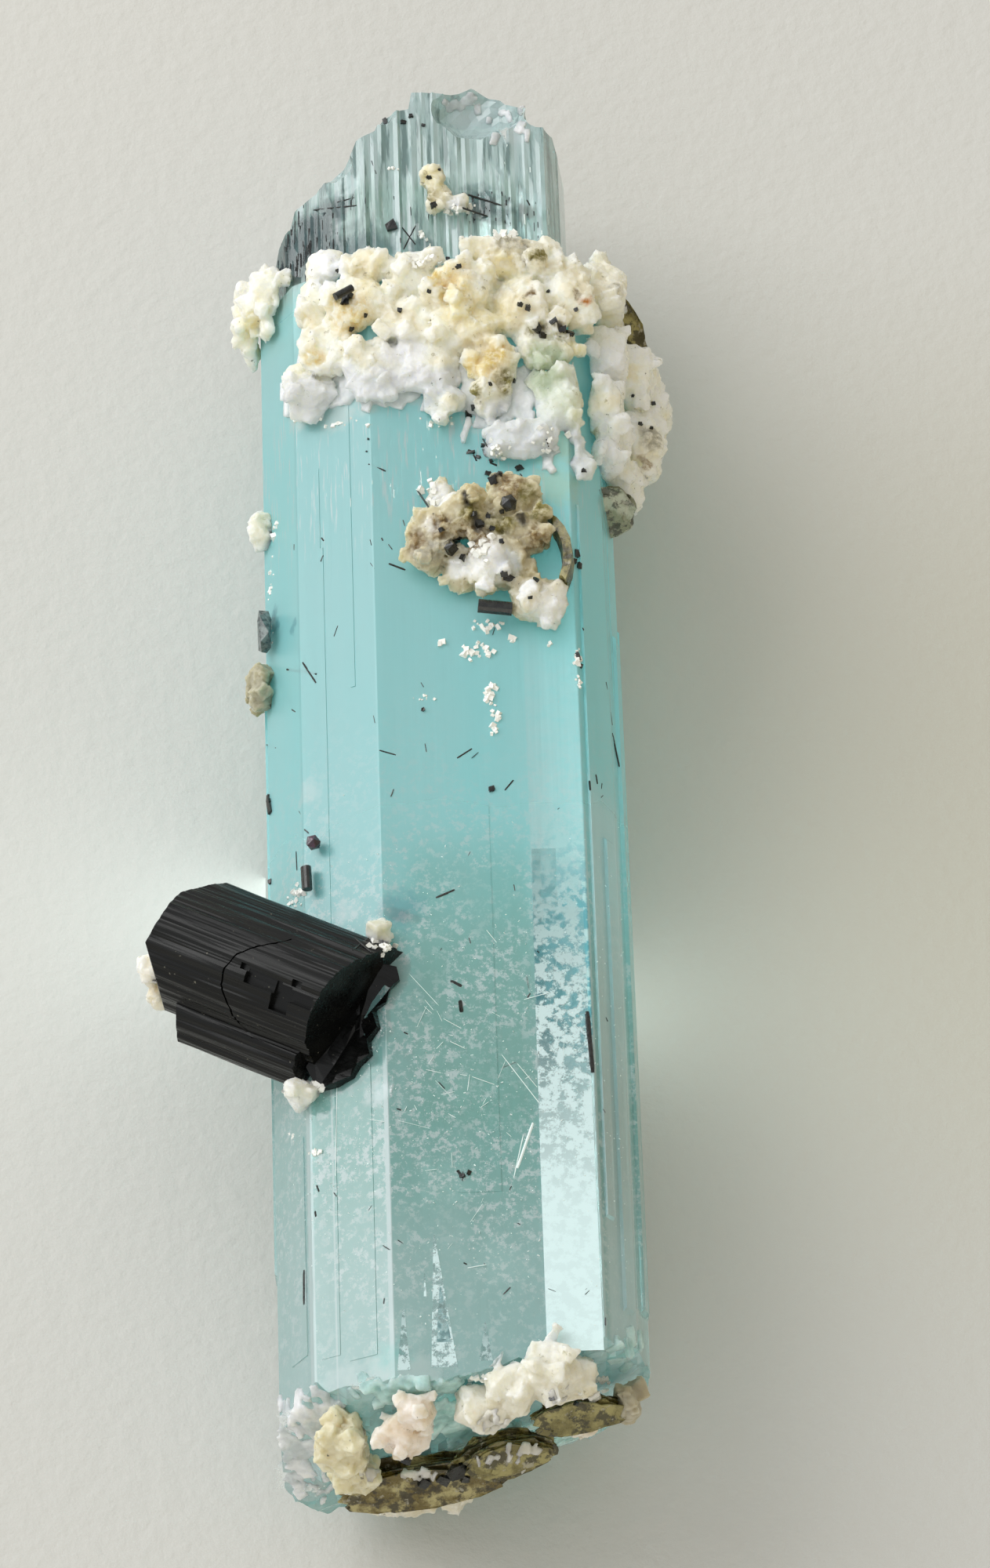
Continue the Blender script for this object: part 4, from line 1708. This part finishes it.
def make_inclusions(settings):
    """Everything fine in the beryl: needles, grains, dust, tubes, veils, cracks, crusts and smoke."""
    outside = tree_of(*[bpy.data.objects[name] for name in CARRIERS])
    inside = beryl_tree()
    sugar = Finish("sugar_grain", roughness=0.45, ior=1.45)
    sugar.set(Base_Color=paint(250, 250, 244))
    thread = Finish("white_thread", roughness=0.5, ior=1.4)
    thread.set(Base_Color=paint(236, 248, 246))
    make_needles(outside, inside)
    make_dark_grains(outside)
    make_white_grains(outside)
    make_flecks(inside)
    make_tubes(inside)
    veil = veil_finish("bubble_veil", paint(226, 244, 242), 0.30, settings.veil_strength, 2600.0)
    frost = veil_finish("frosty_crack", paint(246, 253, 254), 0.20, 0.95, 1500.0)
    smoke = veil_finish("dark_smoke", paint(30, 50, 58), 0.17, 0.9, 1500.0)
    sheet_piece("healed_veils", inside, VEILS, veil)
    sheet_piece("corner_cracks", inside, CORNER_CRACKS, frost)
    make_films(film_finish())
    icy = crust_finish("icy_albite", paint(240, 252, 250), paint(253, 254, 250), 0.72)
    grown_crust("icy_fringe", inside, FRINGE, icy, 53, 1.0)
    splinters = crust_finish("frosted_beryl", paint(240, 250, 248), paint(254, 255, 254), 0.5)
    grown_crust("corner_frost", inside, CORNER_FROST, splinters, 57, 0.6)
    fresh = crust_finish("fresh_beryl", paint(166, 220, 214), paint(216, 242, 238), 0.5)
    grown_crust("fresh_breaks", inside, FRESH_BREAKS, fresh, 59, 0.8)
    crumb = crust_finish("base_crumb", paint(206, 200, 176), paint(250, 246, 236), 0.9)
    grown_crust("base_crumbs", outside, BASE_CRUMBS, crumb, 61, 0.5)
    sheet_piece("schorl_smoke", inside, SMOKE, smoke)


# Where the window stands, and the direction from which most of the room's light comes.
WINDOW_PLACE = (-0.41, 0.27, 0.37)
WINDOW_WAY = (-0.62, 0.30, 0.72)
WINDOW_SIZE = (0.52, 0.52)

# A pale card in front, which lights the broken base.
CARD_PLACE = (0.02, -0.27, 0.09)
CARD_SIZE = (0.30, 0.10)
CARD_AIM = (0.0, -0.03, 0.01)

# The light that leaves the crystal's flanks: (name, place, aim, share of its power).
GLOWS = (
    ("right_glow", (0.0128, -0.010, 0.0065), (0.0215, -0.010, 0.0), 1.0),
    ("left_glow", (-0.0116, -0.004, 0.0035), (-0.0162, -0.004, 0.0), 0.9),
)
GLOW_SIZE = (0.006, 0.056)
GLOW_COLOUR = (0.86, 1.0, 0.98)

# Where the paper is a little warmer, at the right, and how far below the crystal's lowest point it lies.
WARM_PLACE = (0.042, 0.002, 0.0)
FLOOR_DROP = -0.0001


def lamp(name, place, size, power, colour, aim=(0.0, 0.0, 0.0)):
    """A rectangular lamp that faces a point."""
    light = bpy.data.lights.new(name, "AREA")
    light.shape = "RECTANGLE"
    light.size, light.size_y = size
    light.energy = power
    light.color = colour
    thing = bpy.data.objects.new(name, light)
    thing.location = place
    thing.rotation_euler = (Vector(aim) - Vector(place)).to_track_quat("-Z", "Y").to_euler()
    bpy.context.scene.collection.objects.link(thing)
    return thing


def make_floor(settings):
    """The paper: a fine grain, faint clouds, and a warmer tone at the right."""
    half = settings.floor_size / 2
    mesh = bpy.data.meshes.new("paper_floor")
    corners = [(half * x, half * y, FLOOR_DROP) for x, y in ((-1, -1), (1, -1), (1, 1), (-1, 1))]
    mesh.from_pydata(corners, [], [(0, 1, 2, 3)])
    floor = bpy.data.objects.new("paper_floor", mesh)
    bpy.context.scene.collection.objects.link(floor)
    finish = Finish("pale_paper", roughness=0.8, ior=1.3)
    grain = finish.noise(900.0, 4.0, contrast=0.6)
    cloud = finish.noise(14.0, 2.0)
    base = tuple(settings.floor_colour)
    tone = finish.blend(finish.range(cloud, 0.3, 0.7), base, tuple(c * 0.97 for c in base))
    away = finish.distance(finish.place, WARM_PLACE)
    warm = finish.range(away, 0.008, 0.045, 1.0, 0.0)
    tone = finish.blend(warm, tone, tuple(a * b for a, b in zip(base, (0.89, 0.87, 0.80))))
    finish.set(Base_Color=tone, Normal=finish.bump(grain, 0.00012, 0.8))
    mesh.materials.append(finish.material)


def make_world(settings):
    """A soft room that is brightest towards the window and dim on the far side."""
    world = bpy.data.worlds.new("soft_room")
    bpy.context.scene.world = world
    world.use_nodes = True
    nodes = world.node_tree.nodes
    links = world.node_tree.links
    background = nodes["Background"]
    place = nodes.new("ShaderNodeTexCoord")
    facing = nodes.new("ShaderNodeVectorMath")
    facing.operation = "DOT_PRODUCT"
    facing.inputs[1].default_value = Vector(WINDOW_WAY).normalized()
    links.new(place.outputs["Generated"], facing.inputs[0])
    strength = nodes.new("ShaderNodeMapRange")
    strength.interpolation_type = "SMOOTHSTEP"
    for name, value in (("From Min", -0.45), ("From Max", 1.0)):
        strength.inputs[name].default_value = value
    strength.inputs["To Min"].default_value = settings.far_light
    strength.inputs["To Max"].default_value = settings.room_light
    links.new(facing.outputs["Value"], strength.inputs["Value"])
    links.new(strength.outputs["Result"], background.inputs["Strength"])
    tone = nodes.new("ShaderNodeMix")
    tone.data_type = "RGBA"
    tone.inputs[6].default_value = (*settings.far_colour, 1.0)
    tone.inputs[7].default_value = (*settings.room_colour, 1.0)
    share = nodes.new("ShaderNodeMapRange")
    for name, value in (("From Min", -0.3), ("From Max", 0.6)):
        share.inputs[name].default_value = value
    links.new(facing.outputs["Value"], share.inputs["Value"])
    links.new(share.outputs["Result"], tone.inputs["Factor"])
    links.new(tone.outputs[2], background.inputs["Color"])


def make_camera():
    """The camera, above the front of the crystal."""
    camera = bpy.data.cameras.new("camera")
    camera.lens = FOCAL_PIXELS / FRAME_HEIGHT * LONG_SENSOR
    camera.sensor_width = LONG_SENSOR
    camera.clip_start = 0.01
    thing = bpy.data.objects.new("camera", camera)
    bpy.context.scene.collection.objects.link(thing)
    turn = Matrix((SIGHT_RIGHT, SIGHT_UP, SIGHT_BACK)).transposed().to_4x4()
    thing.matrix_world = Matrix.Translation(PLACE @ CAMERA_PLACE) @ turn
    bpy.context.scene.camera = thing


def make_stage(settings):
    """A pale paper floor, a soft room, a window to the upper left, and the camera."""
    make_floor(settings)
    make_world(settings)
    lamp("window", WINDOW_PLACE, WINDOW_SIZE, settings.window_power, (1.0, 0.995, 0.985))
    lamp("front_card", CARD_PLACE, CARD_SIZE, settings.card_power, (1.0, 1.0, 0.98), CARD_AIM)
    for name, place, aim, share in GLOWS:
        glow = lamp(name, place, GLOW_SIZE, settings.glow_power * share, GLOW_COLOUR, aim)
        glow.visible_camera = False
        glow.visible_glossy = False
        glow.visible_transmission = False
    make_camera()
    bpy.context.scene.view_settings.view_transform = "Standard"


def colour_property(name, description, default):
    return bpy.props.FloatVectorProperty(
        name=name, description=description, subtype="COLOR", size=3, min=0.0, max=1.0, default=default
    )


def number_property(name, description, default, least=0.0, **limits):
    return bpy.props.FloatProperty(name=name, description=description, default=default, min=least, **limits)


def share_property(name, description, default, least=0.0):
    return number_property(name, description, default, least, max=1.0)


def length_property(name, description, default, least):
    return number_property(name, description, default, least, subtype="DISTANCE", unit="LENGTH")


def power_property(name, description, default):
    return number_property(name, description, default, subtype="POWER", unit="POWER")


class BerylSettings(bpy.types.PropertyGroup):
    body_colour: colour_property("Body colour", "Tint of the skin over the upper body", (0.47, 0.97, 1.0))
    waist_colour: colour_property("Waist colour", "Tint below the tourmaline", (0.34, 0.66, 0.62))
    foot_colour: colour_property("Foot colour", "Tint of the skin near the base", (0.50, 0.76, 0.74))
    head_colour: colour_property("Head colour", "Tint of the etched head", (0.55, 0.74, 0.69))
    absorption_colour: colour_property(
        "Absorption colour", "Colour that is left after light has passed a long way", (0.10, 0.95, 0.95)
    )
    absorption_density: number_property("Absorption density", "Absorption to the metre", 11.0)
    clarity: share_property("Clarity", "Share of light that passes through the skin", 0.56, 0.5)
    refraction: number_property("Refraction", "Index of refraction of beryl", 1.577, 1.0, max=2.5)
    body_frost: share_property("Body frost", "Roughness of the upper body", 0.32)
    foot_frost: share_property("Foot frost", "Roughness near the base", 0.05)
    striation: number_property("Striation", "Strength of the fine grooves along the prism", 0.6, max=2.0)
    edge_radius: length_property("Edge radius", "Radius of the prism's long edges", 0.00014, 0.00001)
    veil_strength: share_property("Veils", "How white the clouds of bubbles are", 0.75)


class TourmalineSettings(bpy.types.PropertyGroup):
    colour: colour_property("Colour", "Colour of the black tourmaline", paint(8, 9, 9))
    band_colour: colour_property("Band colour", "Colour of its lighter bands", paint(18, 19, 18))
    gloss: share_property("Gloss roughness", "Roughness of its smoothest grooves", 0.16)


class MatrixSettings(bpy.types.PropertyGroup):
    mica_colour: colour_property("Mica colour", "Colour of the olive mica", paint(112, 104, 54))


class StageSettings(bpy.types.PropertyGroup):
    floor_colour: colour_property("Floor colour", "Colour of the paper", paint(214, 213, 208))
    floor_size: length_property("Floor size", "Length of the floor's side", 8.0, 0.5)
    room_colour: colour_property("Room colour", "The room's light on the window's side", (0.97, 0.99, 1.0))
    far_colour: colour_property("Far colour", "The room's light on the far side", (1.0, 0.85, 0.52))
    room_light: number_property("Room light", "Strength of the light on the window's side", 0.76)
    far_light: number_property("Far light", "Strength of the light on the far side", 0.44)
    card_power: power_property("Card power", "Power of the pale card in front", 0.11)
    glow_power: power_property("Glow power", "Power of the light that leaves a flank", 0.0010)
    window_power: power_property("Window power", "Power of the window", 2.5)


class AquamarineSettings(bpy.types.PropertyGroup):
    beryl: bpy.props.PointerProperty(type=BerylSettings, name="Beryl", description="The prism's finish")
    tourmaline: bpy.props.PointerProperty(
        type=TourmalineSettings, name="Tourmaline", description="The black tourmaline's finish"
    )
    matrix: bpy.props.PointerProperty(type=MatrixSettings, name="Matrix", description="The mica's finish")
    stage: bpy.props.PointerProperty(type=StageSettings, name="Stage", description="Floor and light")


class AQUAMARINE_OT_prism(bpy.types.Operator):
    """Builds the beryl prism with its growth steps, etched head and broken base"""

    bl_idname = "aquamarine.prism"
    bl_label = "Beryl prism"

    def execute(self, context):
        make_prism(context.scene.aquamarine.beryl)
        return {"FINISHED"}


class AQUAMARINE_OT_tourmaline(bpy.types.Operator):
    """Builds the large black tourmaline that crosses the prism"""

    bl_idname = "aquamarine.tourmaline"
    bl_label = "Black tourmaline"

    def execute(self, context):
        make_tourmaline(context.scene.aquamarine.tourmaline)
        return {"FINISHED"}


class AQUAMARINE_OT_albite(bpy.types.Operator):
    """Builds the masses of albite round the shoulder and on the top face"""

    bl_idname = "aquamarine.albite"
    bl_label = "Albite"

    def execute(self, context):
        make_albite()
        make_lobe()
        return {"FINISHED"}


class AQUAMARINE_OT_base(bpy.types.Operator):
    """Builds the albite on the base, round the tourmaline and on the left edge"""

    bl_idname = "aquamarine.base"
    bl_label = "Base grains"

    def execute(self, context):
        make_base()
        return {"FINISHED"}


class AQUAMARINE_OT_mica(bpy.types.Operator):
    """Builds the books of mica and finishes the curved blade"""

    bl_idname = "aquamarine.mica"
    bl_label = "Mica"

    def execute(self, context):
        make_mica(context.scene.aquamarine.matrix)
        return {"FINISHED"}


class AQUAMARINE_OT_grains(bpy.types.Operator):
    """Finishes the small black prisms, the garnet and the grey plate"""

    bl_idname = "aquamarine.grains"
    bl_label = "Small grains"

    def execute(self, context):
        make_small_grains()
        return {"FINISHED"}


class AQUAMARINE_OT_inclusions(bpy.types.Operator):
    """Builds the needles, specks, tubes, veils and crusts in and on the beryl"""

    bl_idname = "aquamarine.inclusions"
    bl_label = "Inclusions"

    def execute(self, context):
        make_inclusions(context.scene.aquamarine.beryl)
        return {"FINISHED"}


class AQUAMARINE_OT_stage(bpy.types.Operator):
    """Builds the floor, the lights and the camera"""

    bl_idname = "aquamarine.stage"
    bl_label = "Stage"

    def execute(self, context):
        make_stage(context.scene.aquamarine.stage)
        return {"FINISHED"}


OPERATORS = (
    AQUAMARINE_OT_prism, AQUAMARINE_OT_tourmaline, AQUAMARINE_OT_albite, AQUAMARINE_OT_base,
    AQUAMARINE_OT_mica, AQUAMARINE_OT_grains, AQUAMARINE_OT_inclusions, AQUAMARINE_OT_stage,
)


class AQUAMARINE_PT_panel(bpy.types.Panel):
    """Lists the pieces of the specimen and their settings"""

    bl_idname = "AQUAMARINE_PT_panel"
    bl_label = "Aquamarine"
    bl_space_type = "VIEW_3D"
    bl_region_type = "UI"
    bl_category = "Aquamarine"

    def draw(self, context):
        for operator in OPERATORS:
            self.layout.operator(operator.bl_idname)
        settings = context.scene.aquamarine
        for group in (settings.beryl, settings.tourmaline, settings.matrix, settings.stage):
            box = self.layout.box()
            for name in group.__annotations__:
                box.prop(group, name)


CLASSES = (
    BerylSettings,
    TourmalineSettings,
    MatrixSettings,
    StageSettings,
    AquamarineSettings,
    *OPERATORS,
    AQUAMARINE_PT_panel,
)


def register():
    for made in CLASSES:
        bpy.utils.register_class(made)
    bpy.types.Scene.aquamarine = bpy.props.PointerProperty(
        type=AquamarineSettings, name="Aquamarine", description="The specimen's sizes and finishes"
    )


def unregister():
    del bpy.types.Scene.aquamarine
    for made in reversed(CLASSES):
        bpy.utils.unregister_class(made)


def main():
    """Builds every piece in order."""
    register()
    bpy.ops.aquamarine.prism()
    bpy.ops.aquamarine.tourmaline()
    bpy.ops.aquamarine.albite()
    bpy.ops.aquamarine.base()
    bpy.ops.aquamarine.mica()
    bpy.ops.aquamarine.grains()
    bpy.ops.aquamarine.inclusions()
    bpy.ops.aquamarine.stage()


if __name__ == "__main__":
    main()
